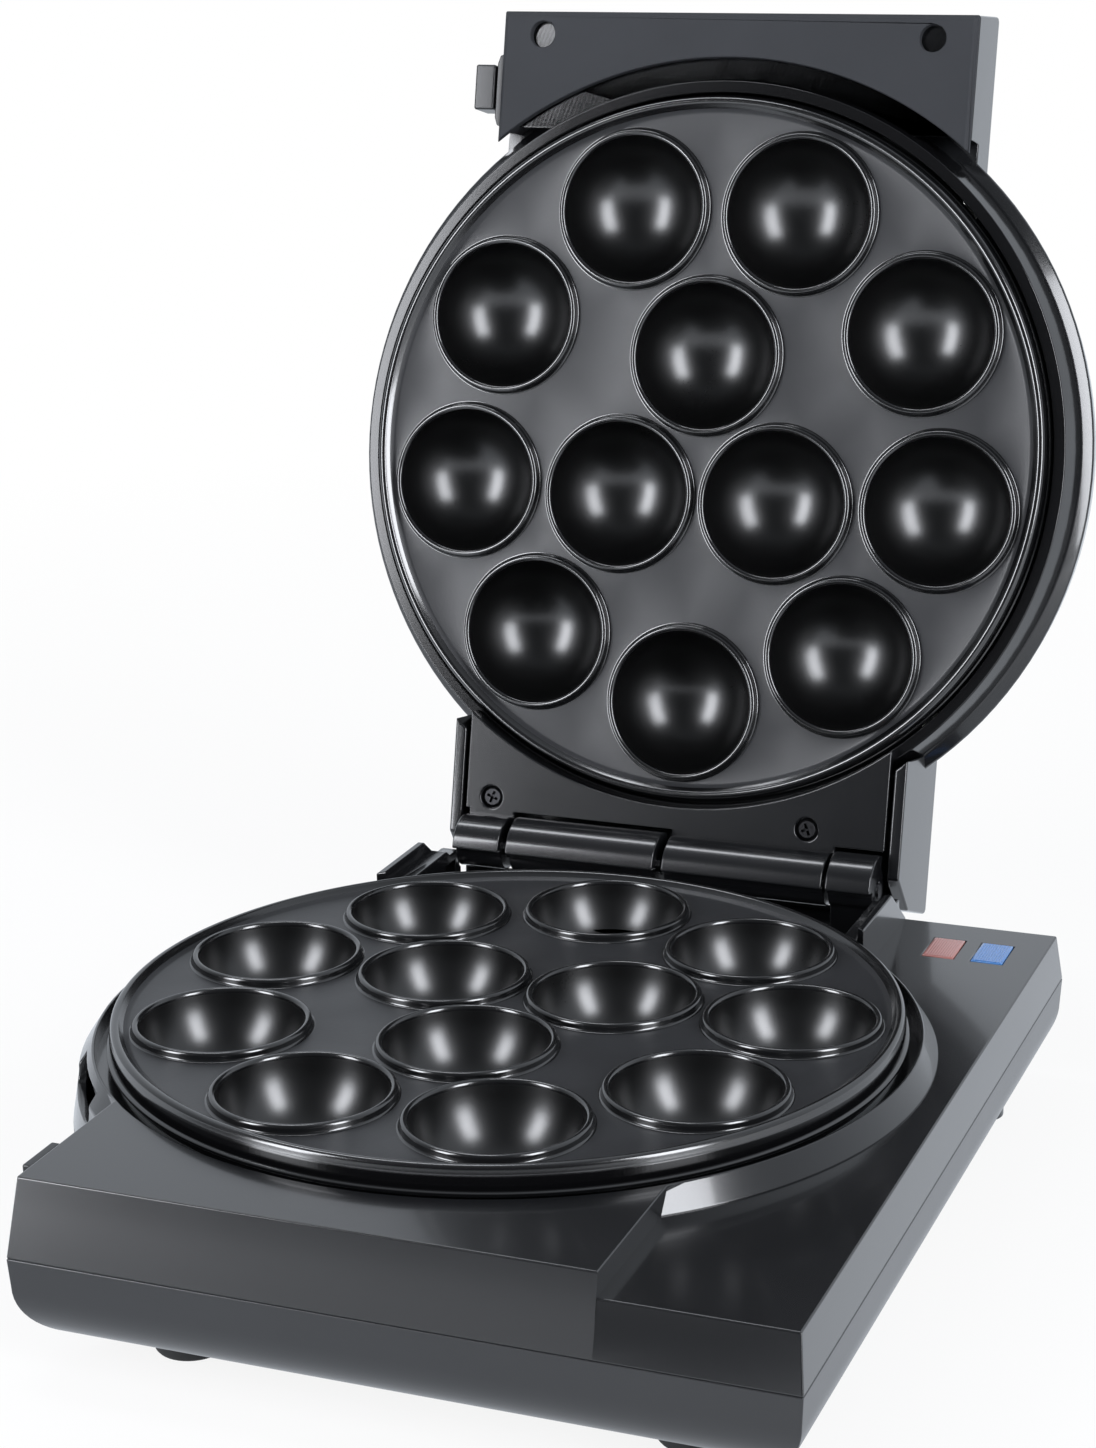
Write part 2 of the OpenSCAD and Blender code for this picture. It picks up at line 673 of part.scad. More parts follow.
// Connector block on the tray's floor with its screw entries
module terminal_block() {
    z0 = floor_z + shell_wall;
    color([0.92, 0.92, 0.9]) difference() {
        box(terminal_x - 12, terminal_x + 12, terminal_y - 9, terminal_y + 9, z0, z0 + 11);
        for (i = [-1, 0, 1]) translate([terminal_x + 7.5 * i, terminal_y, z0 + 5])
            cylinder(r = 2, h = 20, $fn = 32);
    }
}

// Leads from the cord bushing to the block, and on to the element and the thermostat
module base_wiring() {
    z0 = floor_z + shell_wall + 11.2;
    run_z = floor_z + 8;
    gland = [lamp_mid_x - 1.5, seam_rear_y - 9, (seam_z + low_z) / 2 - 0.8];
    pin_z = lip_z - reflector_depth - sheet_t - pin_below - 0.2;
    pin = [element_r * sin(element_gap_angle), element_r * cos(element_gap_angle), pin_z];
    tab = [6, 0, lip_z - reflector_depth - sheet_t - 8.7];
    side_x = terminal_x - 15;
    color([0.75, 0.72, 0.66]) {
        lead([gland, gland - [0, 1, 10], [terminal_x, terminal_y + 30, z0 + 3],
              [terminal_x, terminal_y, z0 + 3], [terminal_x, terminal_y, z0]]);
        lead([[terminal_x - 7.5, terminal_y + 3, z0], [terminal_x - 7.5, terminal_y + 3, z0 + 2.5],
              [side_x, terminal_y + 3, z0 + 1], [side_x - 2, terminal_y + 3, run_z],
              [pin.x, pin.y, run_z], pin]);
        lead([[terminal_x - 7.5, terminal_y - 5, z0], [terminal_x - 7.5, terminal_y - 5, z0 + 2.5],
              [side_x, terminal_y - 5, z0 + 1], [side_x - 2, terminal_y - 5, run_z - 4.1],
              [tab.x, tab.y, run_z - 4.1], tab]);
    }
}

module lead(points) {
    for (i = [0:len(points) - 2]) bar(points[i], points[i + 1], 1.1);
}

module lamp_lens(x) {
    flange_z = low_z - shell_wall;
    box(x - lamp_w / 2, x + lamp_w / 2, lamp_y - lamp_len / 2, lamp_y + lamp_len / 2, flange_z - lamp_flange, low_z + 0.3);
    box(x - lamp_w / 2 - 0.9, x + lamp_w / 2 + 0.9, lamp_y - lamp_len / 2 - 0.9, lamp_y + lamp_len / 2 + 0.9,
        flange_z - lamp_flange, flange_z);
}

module lamp_lens_red() {
    color([0.75, 0.3, 0.27, 0.85]) lamp_lens(lamp_xs[0]);
}

module lamp_lens_blue() {
    color([0.2, 0.42, 0.8, 0.85]) lamp_lens(lamp_xs[1]);
}

module lamp_holder() {
    top_z = low_z - shell_wall - lamp_flange;
    color([0.85, 0.85, 0.83]) difference() {
        box(lamp_xs[0] - lamp_w / 2 - 1.5, lamp_xs[1] + lamp_w / 2 + 1.5, lamp_y - lamp_len / 2 - 1.5,
            lamp_y + lamp_len / 2 + 1.5, top_z - lamp_holder_h, top_z);
        for (x = lamp_xs) box(x - lamp_w / 2 + 0.4, x + lamp_w / 2 - 0.4, lamp_y - lamp_len / 2 + 0.4,
            lamp_y + lamp_len / 2 - 0.4, top_z - lamp_holder_h + lamp_cell_floor, top_z + over);
    }
}

module lamp_bulbs() {
    z = low_z - shell_wall - lamp_flange - lamp_holder_h + lamp_cell_floor + lamp_bulb_r + 0.05;
    color([0.95, 0.85, 0.75, 0.7]) for (x = lamp_xs) translate([x, lamp_y, z]) rotate([90, 0, 0]) {
        cylinder(r = lamp_bulb_r, h = lamp_len - 3.5, center = true, $fn = 32);
        cylinder(r = 0.4, h = lamp_len - 0.9, center = true, $fn = 24);
    }
}

// Slider with an outer tab, a neck through the wall and an inner carriage
module base_release_slider() {
    z_mid = base_slot_z + slider_neck_h / 2;
    neck_y = base_tab_y + 4;
    color([0.07, 0.07, 0.075]) {
        box(base_wall_out_x - base_tab_out + 0.5, base_wall_out_x - gap - 0.1, base_tab_y, base_tab_y + base_tab_len,
            base_tab_top_z - base_tab_h, base_tab_top_z);
        box(base_wall_out_x - 1, base_wall_in_x + 1, neck_y, neck_y + slider_neck_len,
            base_slot_z, base_slot_z + slider_neck_h);
        box(base_wall_in_x + gap, base_wall_in_x + carriage_t, base_tab_y + 1, base_tab_y + 1 + carriage_len,
            z_mid - carriage_h / 2, z_mid + carriage_h / 2);
    }
}

module coil_sleeve(length) {
    difference() {
        cylinder(r = spring_r, h = length, $fn = 48);
        translate([0, 0, -over]) cylinder(r = spring_r - 0.6, h = length + 2 * over, $fn = 48);
    }
}

module base_latch_spring() {
    color([0.7, 0.7, 0.72]) translate([base_wall_in_x + carriage_t / 2 + 0.2, base_tab_y + 1 + carriage_len + gap,
        base_slot_z + slider_neck_h / 2]) rotate([-90, 0, 0]) coil_sleeve(spring_len);
}

module feet() {
    color([0.08, 0.08, 0.08]) for (x = foot_xs, y = [foot_front_y, foot_rear_y]) translate([x, y, 0])
        rotate_extrude() polygon([
            [0, 0], [foot_r, 0], [foot_r + 0.4, 0.5], [foot_r + 1.4, floor_z + foot_seat - 0.05],
            [2.4, floor_z + foot_seat - 0.05], [2.4, floor_z + 3.5], [0, floor_z + 3.5]]);
}

module housing_screws() {
    color([0.6, 0.6, 0.62]) for (p = housing_screw_spots) translate([p.x, p.y, housing_head_z - housing_head_t])
        screw(housing_head_r, housing_head_t, housing_shank_r, housing_screw_top_z - housing_head_z + housing_head_t);
}

module hinge_pin() {
    color([0.65, 0.65, 0.67]) translate([knuckle_joints[0] - 1, hinge_y, hinge_z]) rotate([0, 90, 0])
        cylinder(r = hinge_pin_d / 2, h = knuckle_joints[4] - knuckle_joints[0] + 1.6, $fn = 64);
}

module cord_gland() {
    color([0.06, 0.06, 0.065]) translate([lamp_mid_x - 1.5, seam_rear_y + 0.2, (seam_z + low_z) / 2 - 0.8])
        rotate([90, 0, 0]) difference() {
            union() {
                translate([0, 0, -2]) cylinder(r = 5.2, h = 2);
                cylinder(r = 3.9, h = 8);
            }
            translate([0, 0, -3]) cylinder(r = 3, h = 20);
        }
}

// Round cover of the lid as a solid, with the given inset
module lid_round_form(inset) {
    rotate_extrude() polygon(concat(
        inset == 0
            ? [[0, band_top_h], [band_r, band_top_h], [lid_widest_r, lid_widest_h],
               [plate_r + 8.7, band_top_h + 10], [lid_edge_r, lid_edge_h]]
            : [[0, band_top_h - over], [band_r - inset + 0.4, band_top_h - over],
               [band_r - inset + 0.4, lid_widest_h + 0.2], [lid_widest_r - inset, lid_widest_h + inset],
               [plate_r + 8.7 - inset, band_top_h + 10], [lid_edge_r - inset - 0.4, lid_edge_h - inset]],
        [for (i = [0:8]) let (t = i / 8) [dome_r * (1 - t),
            lid_edge_h + 0.8 + (lid_height - lid_edge_h - 0.8) * (1 - pow(1 - t, 2)) - inset]]));
}

// Handle block of the lid as a solid, with the given inset
module handle_form(inset) {
    w = handle_half_w + handle_bevel;
    z0 = handle_face_h + cover_t - (inset > 0 ? over : 0);
    top = handle_top_h - inset;
    y0 = handle_front_y - 4 + inset;
    intersection() {
        along_y(y0 - over, 0) polygon([
            [-w + inset, z0], [-w - 0.7 + inset, top - 2], [-w + 1.3 + inset, top], [w - 1.3 - inset, top],
            [w + 0.7 - inset, top - 2], [w - inset, z0]]);
        along_x(-w - 2, w + 2) polygon([
            [y0 + 2.6, z0], [y0, top - 3], [y0 + 3, top], [0, top], [0, z0]]);
    }
}

// Rear extension of the lid over the hinge as a solid, with the given inset
module rear_form(inset) {
    top = handle_top_h - inset;
    intersection() {
        along_y(60, 140) polygon([
            [-cheek_out_x + inset, hinge_cover_h - over], [-cheek_out_x - 1.4 + inset, top - 2],
            [-cheek_out_x + 1 + inset, top], [cheek_out_x - 1 - inset, top],
            [cheek_out_x + 1.4 - inset, top - 2], [cheek_out_x - inset, hinge_cover_h - over]]);
        along_x(-big / 2, big / 2) polygon([
            [hinge_y - 55, hinge_cover_h], [hinge_y - 3, hinge_cover_h],
            [hinge_y + 6.7 - inset, 9.7 + inset * 0.5], [hinge_y + 9.4 - inset, top - 3],
            [hinge_y + 6.4 - inset, top], [hinge_y - 55, top]]);
    }
}

module lid_shell_body() {
    arc_in = trough_out_r + shell_wall;
    difference() {
        union() {
            lid_round_form(0);
            difference() {
                handle_form(0);
                translate([0, 0, -over]) cylinder(r = trough_out_r + shell_wall + gap, h = lid_widest_h + over);
            }
            difference() {
                rear_form(0);
                translate([0, 0, hinge_cover_h - 2 * over])
                    cylinder(r = lid_lip_out_r + 2.2 + gap, h = band_top_h - hinge_cover_h + 2 * over);
            }
        }
        lid_round_form(shell_wall);
        // Hollow of the handle, outside the round cover and above the trough
        difference() {
            handle_form(shell_wall);
            lid_round_form(0);
            cylinder(r = arc_in, h = lid_widest_h + shell_wall);
        }
        // Hollow of the rear extension between the cheeks
        difference() {
            intersection() {
                rear_form(shell_wall);
                box(-cheek_in_x, cheek_in_x, 0, big, -big, big);
            }
            lid_round_form(0);
        }
        // Room for the hinge cover and the knuckles
        box(-cheek_in_x, cheek_in_x, 60, hinge_y - 2, hinge_cover_h - over, band_top_h - 0.5);
        translate([-cheek_in_x, hinge_y, -hinge_drop]) rotate([0, 90, 0])
            cylinder(r = barrel_room_r, h = 2 * cheek_in_x);
    }
}

module lid_outer_shell() {
    color([0.13, 0.135, 0.14]) open_lid() difference() {
        union() {
            lid_shell_body();
            // Bosses for the handle, hinge cover and frame screws
            for (s = [-1, 1]) translate([s * handle_screw_x, handle_screw_y, handle_well_h + 2.2])
                cylinder(r = lid_shank_r + 2.2, h = handle_top_h - handle_well_h - 2.2 - shell_wall / 2);
            for (p = hinge_screw_spots) translate([p.x, p.y, 3.8])
                cylinder(r = lid_shank_r + 2.2, h = handle_top_h - 3.8 - shell_wall / 2);
            for (a = frame_screw_angles) rotate(a) translate([frame_screw_r, 0, lid_ledge_h + shell_wall])
                cylinder(r = lid_shank_r + 2, h = lid_edge_h - lid_ledge_h - shell_wall - 1);
        }
        for (s = [-1, 1]) translate([s * handle_screw_x, handle_screw_y, handle_well_h])
            cylinder(r = lid_shank_r + hole_gap, h = lid_screw_grip + 0.5, $fn = 48);
        for (p = hinge_screw_spots) translate([p.x, p.y, 0])
            cylinder(r = lid_shank_r + hole_gap, h = hinge_cover_h + cover_t + lid_screw_grip + 1.6, $fn = 48);
        for (a = frame_screw_angles) rotate(a) translate([frame_screw_r, 0, 0])
            cylinder(r = lid_shank_r + hole_gap, h = lid_ledge_h + frame_screw_len + 1, $fn = 48);
        // Slot of the lid's release slider
        box(lid_wall_out_x - 3, lid_wall_in_x + 0.6, lid_tab_mid_y - slider_neck_len / 2 - slider_travel - gap,
            lid_tab_mid_y + slider_neck_len / 2 + gap, lid_tab_mid_h - slider_neck_h / 2 - gap,
            lid_tab_mid_h + slider_neck_h / 2 + gap);
    }
}

module lid_inner_frame() {
    color([0.05, 0.05, 0.055]) open_lid() difference() {
        rotate_extrude() polygon([
            [lid_lip_in_r, lid_lip_h], [lid_lip_out_r, lid_lip_h], [band_r, band_top_h],
            [band_r - 2.3, band_top_h], [lid_lip_out_r - 0.7, lid_ledge_h + shell_wall],
            [plate_r - 4, lid_ledge_h + shell_wall], [plate_r - 4, lid_ledge_h], [lid_lip_in_r, lid_ledge_h]]);
        for (a = frame_screw_angles) rotate(a) translate([frame_screw_r, 0, lid_ledge_h - 0.01]) {
            cylinder(r = lid_shank_r + hole_gap, h = 10, $fn = 48);
            rotate_extrude($fn = 48) polygon([[0, -over], [lid_head_r + 0.15, -over], [lid_head_r + 0.15, 0],
                [lid_shank_r + hole_gap, head_h + 0.15], [0, head_h + 0.15]]);
        }
    }
}

// Inner face of the handle: flat plate, curved trough wall, two screw sleeves and the slider's rails
module lid_handle_cover() {
    w = handle_half_w;
    h0 = handle_face_h;
    h1 = h0 + cover_t;
    arc_out = trough_out_r + shell_wall;
    y0 = handle_front_y;
    color([0.20, 0.21, 0.225]) open_lid() difference() {
        union() {
            difference() {
                intersection() {
                    along_y(y0 - 2, 0) polygon([
                        [-w, h0], [-w - handle_bevel, h0 + handle_bevel], [-w - handle_bevel, h1],
                        [w + handle_bevel, h1], [w + handle_bevel, h0 + handle_bevel], [w, h0]]);
                    along_x(-w - 2, w + 2) polygon([
                        [y0, h0], [y0 - 1.4, h0 + handle_bevel], [y0 - 1.4, h1], [0, h1], [0, h0]]);
                }
                translate([0, 0, -over]) cylinder(r = trough_out_r, h = big);
            }
            // Trough wall
            intersection() {
                translate([0, 0, h0]) difference() {
                    cylinder(r = arc_out, h = lid_widest_h - h0 - 0.05);
                    translate([0, 0, -over]) cylinder(r = trough_out_r, h = big);
                }
                box(-w, w, -big, 0, h0, lid_widest_h);
                box(-w + shell_wall, w - shell_wall, -big, 0, h0, big);
            }
            intersection() {
                for (s = [-1, 1]) translate([s * handle_screw_x, handle_screw_y, h0])
                    cylinder(r = handle_well_r + 1.3, h = handle_well_h + 1.8 - h0);
                handle_form(shell_wall + 0.1);
            }
            lid_slider_rails();
        }
        for (s = [-1, 1]) translate([s * handle_screw_x, handle_screw_y, h0 - over]) {
            cylinder(r = handle_well_r, h = handle_well_h - h0 + over, $fn = 64);
            cylinder(r = lid_shank_r + hole_gap, h = big, $fn = 48);
        }
    }
}

module lid_slider_rails() {
    x_in = lid_wall_in_x + carriage_t + 2 * gap;
    y1 = lid_tab_mid_y + lid_carriage_len / 2 + 1;
    y0 = y1 - lid_carriage_len - lid_spring_len - 1 - 2 * gap;
    h1 = handle_face_h + cover_t;
    top = lid_tab_mid_h + 3.3 + gap;
    box(x_in, x_in + 1.4, y0 - 1.4, y1, h1 - 0.2, top);
    box(lid_wall_in_x + 1.2, x_in + 1, y0 - 1.4, y1, top, top + 1.4);
    box(lid_wall_in_x + 0.4, x_in + 1, y0 - 1.4, y0, h1 - 0.2, top + 1.4);
}

// Cover over the hinge with the lid's two knuckles and two recessed screw seats
module lid_hinge_plate() {
    w = hinge_cover_half_w;
    h0 = hinge_cover_h;
    h1 = h0 + cover_t;
    start = 180 - asin((h1 + hinge_drop) / lid_knuckle_r);
    color([0.17, 0.18, 0.19]) open_lid() difference() {
        union() {
            difference() {
                union() {
                    box(-w, w, plate_r - 24, hinge_y - 10.3, h0, h1);
                    for (i = [0, 2]) box(knuckle_joints[i], knuckle_joints[i + 1] - (i == 0 ? knuckle_gap : 0),
                        hinge_y - 16, hinge_y - 7, h0, h1);
                    intersection() {
                        box(-w, w, plate_r - 24, big, h0, lid_lip_h);
                        cylinder(r = lid_lip_out_r, h = lid_lip_h);
                    }
                }
                translate([0, 0, h0 - over]) cylinder(r = hinge_cover_r, h = big);
            }
            for (i = [0, 2]) translate([0, hinge_y, -hinge_drop])
                along_x(knuckle_joints[i] + (i == 0 ? 0 : knuckle_gap), knuckle_joints[i + 1] - (i == 0 ? knuckle_gap : 0))
                    knuckle_outline(lid_knuckle_r, start, curl_end + open_angle);
            for (p = hinge_screw_spots) translate([p.x, p.y, h0]) cylinder(r = lid_head_r + 2.4, h = cover_t + 2.8);
        }
        for (p = hinge_screw_spots) translate([p.x, p.y, h0 - over]) {
            cylinder(r = lid_head_r + 0.3, h = over + cover_t + 0.2, $fn = 48);
            cylinder(r = lid_shank_r + hole_gap, h = 20, $fn = 48);
        }
        translate([-big / 2, hinge_y, -hinge_drop]) rotate([0, 90, 0])
            cylinder(r = hinge_pin_d / 2 + hole_gap, h = big, $fn = 64);
    }
}

module lid_plate() {
    color([0.12, 0.12, 0.125]) open_lid() mirror([0, 0, 1]) baking_plate();
}

module lid_reflector() {
    color([0.75, 0.76, 0.78]) open_lid() mirror([0, 0, 1]) reflector_pan();
}

module lid_element() {
    color([0.35, 0.36, 0.36]) open_lid() mirror([0, 0, 1]) tubular_element();
}

module lid_element_clips() {
    color([0.7, 0.7, 0.72]) open_lid() mirror([0, 0, 1]) element_straps();
}

module lid_thermal_fuse() {
    color([0.9, 0.9, 0.86]) open_lid() mirror([0, 0, 1]) fuse_body();
}

module lid_release_slider() {
    y = lid_tab_mid_y;
    h = lid_tab_mid_h;
    face_x = lid_wall_out_x - bezel_out;
    color([0.07, 0.07, 0.075]) open_lid() {
        box(lid_wall_out_x - lid_tab_out, face_x - gap, y - lid_tab_len / 2, y + lid_tab_len / 2,
            h - lid_tab_h / 2, h + lid_tab_h / 2);
        box(face_x - 1, lid_wall_in_x + 1, y - slider_neck_len / 2, y + slider_neck_len / 2,
            h - slider_neck_h / 2, h + slider_neck_h / 2);
        box(lid_wall_in_x + gap, lid_wall_in_x + carriage_t, y - lid_carriage_len / 2, y + lid_carriage_len / 2,
            h - 3.3, h + 3.3);
    }
}

// Raised surround of the lid's slider, with tapered ends
module lid_slider_bezel() {
    y = lid_tab_mid_y + 0.8;
    h = lid_tab_mid_h + 0.4;
    x0 = lid_wall_out_x - bezel_out;
    x1 = lid_wall_out_x + 0.5;
    color([0.07, 0.07, 0.075]) open_lid() difference() {
        translate([0, 0, h - bezel_h / 2]) linear_extrude(bezel_h) polygon([
            [x1, y - bezel_len / 2], [x0 + 0.7, y - bezel_len / 2 + 0.8], [x0, y - bezel_len / 2 + 3],
            [x0, y + bezel_len / 2 - 3], [x0 + 0.7, y + bezel_len / 2 - 0.8], [x1, y + bezel_len / 2]]);
        handle_form(0);
        box(x0 - over, x1 + over, lid_tab_mid_y - slider_neck_len / 2 - slider_travel - gap,
            lid_tab_mid_y + slider_neck_len / 2 + gap, lid_tab_mid_h - slider_neck_h / 2 - gap,
            lid_tab_mid_h + slider_neck_h / 2 + gap);
    }
}

module lid_latch_spring() {
    color([0.7, 0.7, 0.72]) open_lid() translate([lid_wall_in_x + carriage_t / 2 + 0.2,
        lid_tab_mid_y - lid_carriage_len / 2 - gap, lid_tab_mid_h]) rotate([90, 0, 0]) coil_sleeve(lid_spring_len);
}

module handle_screws() {
    color([0.3, 0.3, 0.31]) open_lid() for (s = [-1, 1])
        translate([s * handle_screw_x, handle_screw_y, handle_well_h - head_h])
            screw(lid_head_r, head_h, lid_shank_r, head_h + lid_screw_grip);
}

module hinge_plate_screws() {
    color([0.3, 0.3, 0.31]) open_lid() for (p = hinge_screw_spots)
        translate([p.x, p.y, hinge_cover_h + cover_t + 0.2 - head_h])
            screw(lid_head_r, head_h, lid_shank_r, head_h + lid_screw_grip);
}

module lid_frame_screws() {
    color([0.6, 0.6, 0.62]) open_lid() for (a = frame_screw_angles) rotate(a)
        translate([frame_screw_r, 0, lid_ledge_h + 0.05]) screw(lid_head_r, head_h, lid_shank_r, frame_screw_len, true);
}

placed() base_top_shell();
placed() base_bottom_shell();
placed() base_plate();
placed() base_reflector();
placed() base_element();
placed() base_element_clips();
placed() base_thermostat();
placed() base_thermal_fuse();
placed() terminal_block();
placed() base_wiring();
placed() lamp_lens_red();
placed() lamp_lens_blue();
placed() lamp_bulbs();
placed() lamp_holder();
placed() base_release_slider();
placed() base_latch_spring();
placed() feet();
placed() housing_screws();
placed() hinge_pin();
placed() cord_gland();
placed() lid_outer_shell();
placed() lid_inner_frame();
placed() lid_handle_cover();
placed() lid_hinge_plate();
placed() lid_plate();
placed() lid_reflector();
placed() lid_element();
placed() lid_element_clips();
placed() lid_thermal_fuse();
placed() lid_release_slider();
placed() lid_slider_bezel();
placed() lid_latch_spring();
placed() handle_screws();
placed() hinge_plate_screws();
placed() lid_frame_screws();
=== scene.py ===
import bmesh
import bpy
import math
from mathutils import Matrix, Vector


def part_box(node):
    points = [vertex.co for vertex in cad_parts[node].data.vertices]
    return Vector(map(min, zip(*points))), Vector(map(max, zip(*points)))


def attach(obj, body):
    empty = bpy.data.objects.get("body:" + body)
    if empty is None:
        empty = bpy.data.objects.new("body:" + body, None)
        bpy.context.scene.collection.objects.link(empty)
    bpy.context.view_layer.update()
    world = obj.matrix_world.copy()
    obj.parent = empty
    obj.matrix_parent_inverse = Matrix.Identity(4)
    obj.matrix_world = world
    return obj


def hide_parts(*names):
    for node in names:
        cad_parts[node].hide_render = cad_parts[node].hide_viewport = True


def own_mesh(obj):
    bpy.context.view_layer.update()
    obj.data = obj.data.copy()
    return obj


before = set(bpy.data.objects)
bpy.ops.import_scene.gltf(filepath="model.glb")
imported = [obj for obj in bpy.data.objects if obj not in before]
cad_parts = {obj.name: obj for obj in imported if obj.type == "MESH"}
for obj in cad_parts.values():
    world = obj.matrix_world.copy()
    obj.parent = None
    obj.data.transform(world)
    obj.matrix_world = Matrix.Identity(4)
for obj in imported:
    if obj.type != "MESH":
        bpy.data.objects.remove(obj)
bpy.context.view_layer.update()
mm = 0.001

# Studio: a camera at the photograph's angle, a pale floor that hides nothing from below,
# two tall softboxes in front of the lid and a long one overhead. The world is pale behind
# the object and dim behind the camera, so that black gloss has light edges, dark faces.
look_at = Vector((-18.2, 37.8, 81.4)) * mm
look_azimuth = math.radians(21.41)
look_elevation = math.radians(17.74)
look_roll = math.radians(-0.85)
look_distance = 801.2 * mm
back = Vector((
    math.sin(look_azimuth) * math.cos(look_elevation),
    -math.cos(look_azimuth) * math.cos(look_elevation),
    math.sin(look_elevation),
))
level = Vector((math.cos(look_azimuth), math.sin(look_azimuth), 0))
upright = back.cross(level)
right = math.cos(look_roll) * level + math.sin(look_roll) * upright
up = back.cross(right)
lens_data = bpy.data.cameras.new("photo_camera")
lens_data.sensor_fit = "VERTICAL"
lens_data.sensor_height = 36
lens_data.lens = 74.71
lens_data.shift_x = -0.0086
lens_data.shift_y = 0.0444
lens_data.clip_start = 0.05
photo_camera = bpy.data.objects.new("photo_camera", lens_data)
bpy.context.scene.collection.objects.link(photo_camera)
photo_camera.matrix_world = Matrix.Translation(look_at + back * look_distance) @ Matrix(
    (right, up, back)
).transposed().to_4x4()
bpy.context.scene.camera = photo_camera
bpy.context.scene.view_settings.view_transform = "Standard"


softbox_aim = Vector((0, 0.1, 0.14))


def softbox(name, azimuth, elevation, distance, width, height, power, width_along=None):
    """A rectangular lamp at angles in degrees round the point it is aimed at."""
    a, e = math.radians(azimuth), math.radians(elevation)
    towards = Vector((math.sin(a) * math.cos(e), -math.cos(a) * math.cos(e), math.sin(e)))
    across = Vector((math.cos(a), math.sin(a), 0)) if width_along is None else Vector(width_along)
    across = (across - towards * across.dot(towards)).normalized()
    data = bpy.data.lights.new(name, "AREA")
    data.shape = "RECTANGLE"
    data.size = width
    data.size_y = height
    data.energy = power
    data.color = (0.93, 0.95, 1)
    box = bpy.data.objects.new(name, data)
    bpy.context.scene.collection.objects.link(box)
    place = Matrix((across, towards.cross(across), towards)).transposed().to_4x4()
    box.matrix_world = Matrix.Translation(softbox_aim + towards * distance) @ place


softbox("softbox_right", 61, 19.5, 1.4, 0.42, 1.15, 20)
softbox("softbox_left", -36, 14.5, 1.4, 0.4, 1.1, 18)
softbox("softbox_above", -106, 69, 1.5, 0.9, 0.2, 5, width_along=(1, 0, 0))


def wire(tree, kind, values=None, **settings):
    """Adds a node; a value that is a socket is linked, any other is set on the input."""
    node = tree.nodes.new(kind)
    for name, value in settings.items():
        setattr(node, name, value)
    for key, value in (values or {}).items():
        socket = node.inputs[key]
        for source in value if isinstance(value, list) else [value]:
            if isinstance(source, bpy.types.NodeSocket):
                tree.links.new(source, socket)
            else:
                socket.default_value = source
    return node


world = bpy.data.worlds.new("pale_studio")
bpy.context.scene.world = world
world.use_nodes = True
tree = world.node_tree
tree.nodes.clear()
seen = wire(tree, "ShaderNodeLightPath")
coords = wire(tree, "ShaderNodeTexCoord")
split = wire(tree, "ShaderNodeSeparateXYZ", {0: coords.outputs["Generated"]})
fade = wire(tree, "ShaderNodeMapRange", {
    "Value": split.outputs["Y"], "From Min": -0.75, "From Max": 0.8, "To Min": 0.09, "To Max": 0.9,
}, interpolation_type="SMOOTHSTEP")
room = wire(tree, "ShaderNodeBackground", {
    "Color": (0.87, 0.925, 1, 1), "Strength": fade.outputs["Result"],
})
white = wire(tree, "ShaderNodeBackground", {"Color": (1, 1, 1, 1), "Strength": 1.0})
direct = wire(tree, "ShaderNodeMath", {
    0: seen.outputs["Is Camera Ray"], 1: seen.outputs["Is Transmission Ray"],
}, operation="MAXIMUM")
mix = wire(tree, "ShaderNodeMixShader", {
    "Fac": direct.outputs[0], 1: room.outputs[0], 2: white.outputs[0],
})
wire(tree, "ShaderNodeOutputWorld", {"Surface": mix.outputs[0]})

floor_mesh = bpy.data.meshes.new("pale_floor")
floor_mesh.from_pydata(
    [(-6, -4, 0), (6, -4, 0), (6, 8, 0), (-6, 8, 0)], [], [(0, 1, 2, 3)]
)
pale_floor = bpy.data.objects.new("pale_floor", floor_mesh)
bpy.context.scene.collection.objects.link(pale_floor)
floor_look = bpy.data.materials.new("pale_floor")
floor_look.use_nodes = True
tree = floor_look.node_tree
tree.nodes.clear()
coords = wire(tree, "ShaderNodeTexCoord")
away = wire(tree, "ShaderNodeVectorMath", {0: coords.outputs["Object"]}, operation="LENGTH")
share = wire(tree, "ShaderNodeMapRange", {
    "Value": away.outputs["Value"], "From Min": 0.25, "From Max": 0.9,
    "To Min": 0.88, "To Max": 1.0,
})
split = wire(tree, "ShaderNodeSeparateXYZ", {0: coords.outputs["Object"]})
slant = wire(tree, "ShaderNodeMath", {
    0: split.outputs["X"], 1: -0.6, 2: split.outputs["Y"],
}, operation="MULTIPLY_ADD")
behind = wire(tree, "ShaderNodeMapRange", {
    "Value": slant.outputs[0], "From Min": -0.36, "From Max": -0.15, "To Min": 0.15, "To Max": 1.0,
})
seen = wire(tree, "ShaderNodeLightPath")
direct = wire(tree, "ShaderNodeMath", {
    0: seen.outputs["Is Camera Ray"], 1: seen.outputs["Is Transmission Ray"],
}, operation="MAXIMUM")
gloss = wire(tree, "ShaderNodeMath", {
    0: seen.outputs["Is Glossy Ray"], 1: behind.outputs["Result"],
}, operation="MULTIPLY")
either = wire(tree, "ShaderNodeMath", {
    0: direct.outputs[0], 1: gloss.outputs[0],
}, operation="MAXIMUM")
amount = wire(tree, "ShaderNodeMath", {
    0: either.outputs[0], 1: share.outputs["Result"],
}, operation="MULTIPLY")
paint = wire(tree, "ShaderNodeBsdfDiffuse", {"Color": (0.8, 0.8, 0.8, 1)})
tone = wire(tree, "ShaderNodeMix", {
    0: direct.outputs[0], 6: (0.87, 0.925, 1, 1), 7: (1, 1, 1, 1),
}, data_type="RGBA")
glow = wire(tree, "ShaderNodeEmission", {"Color": tone.outputs[2]})
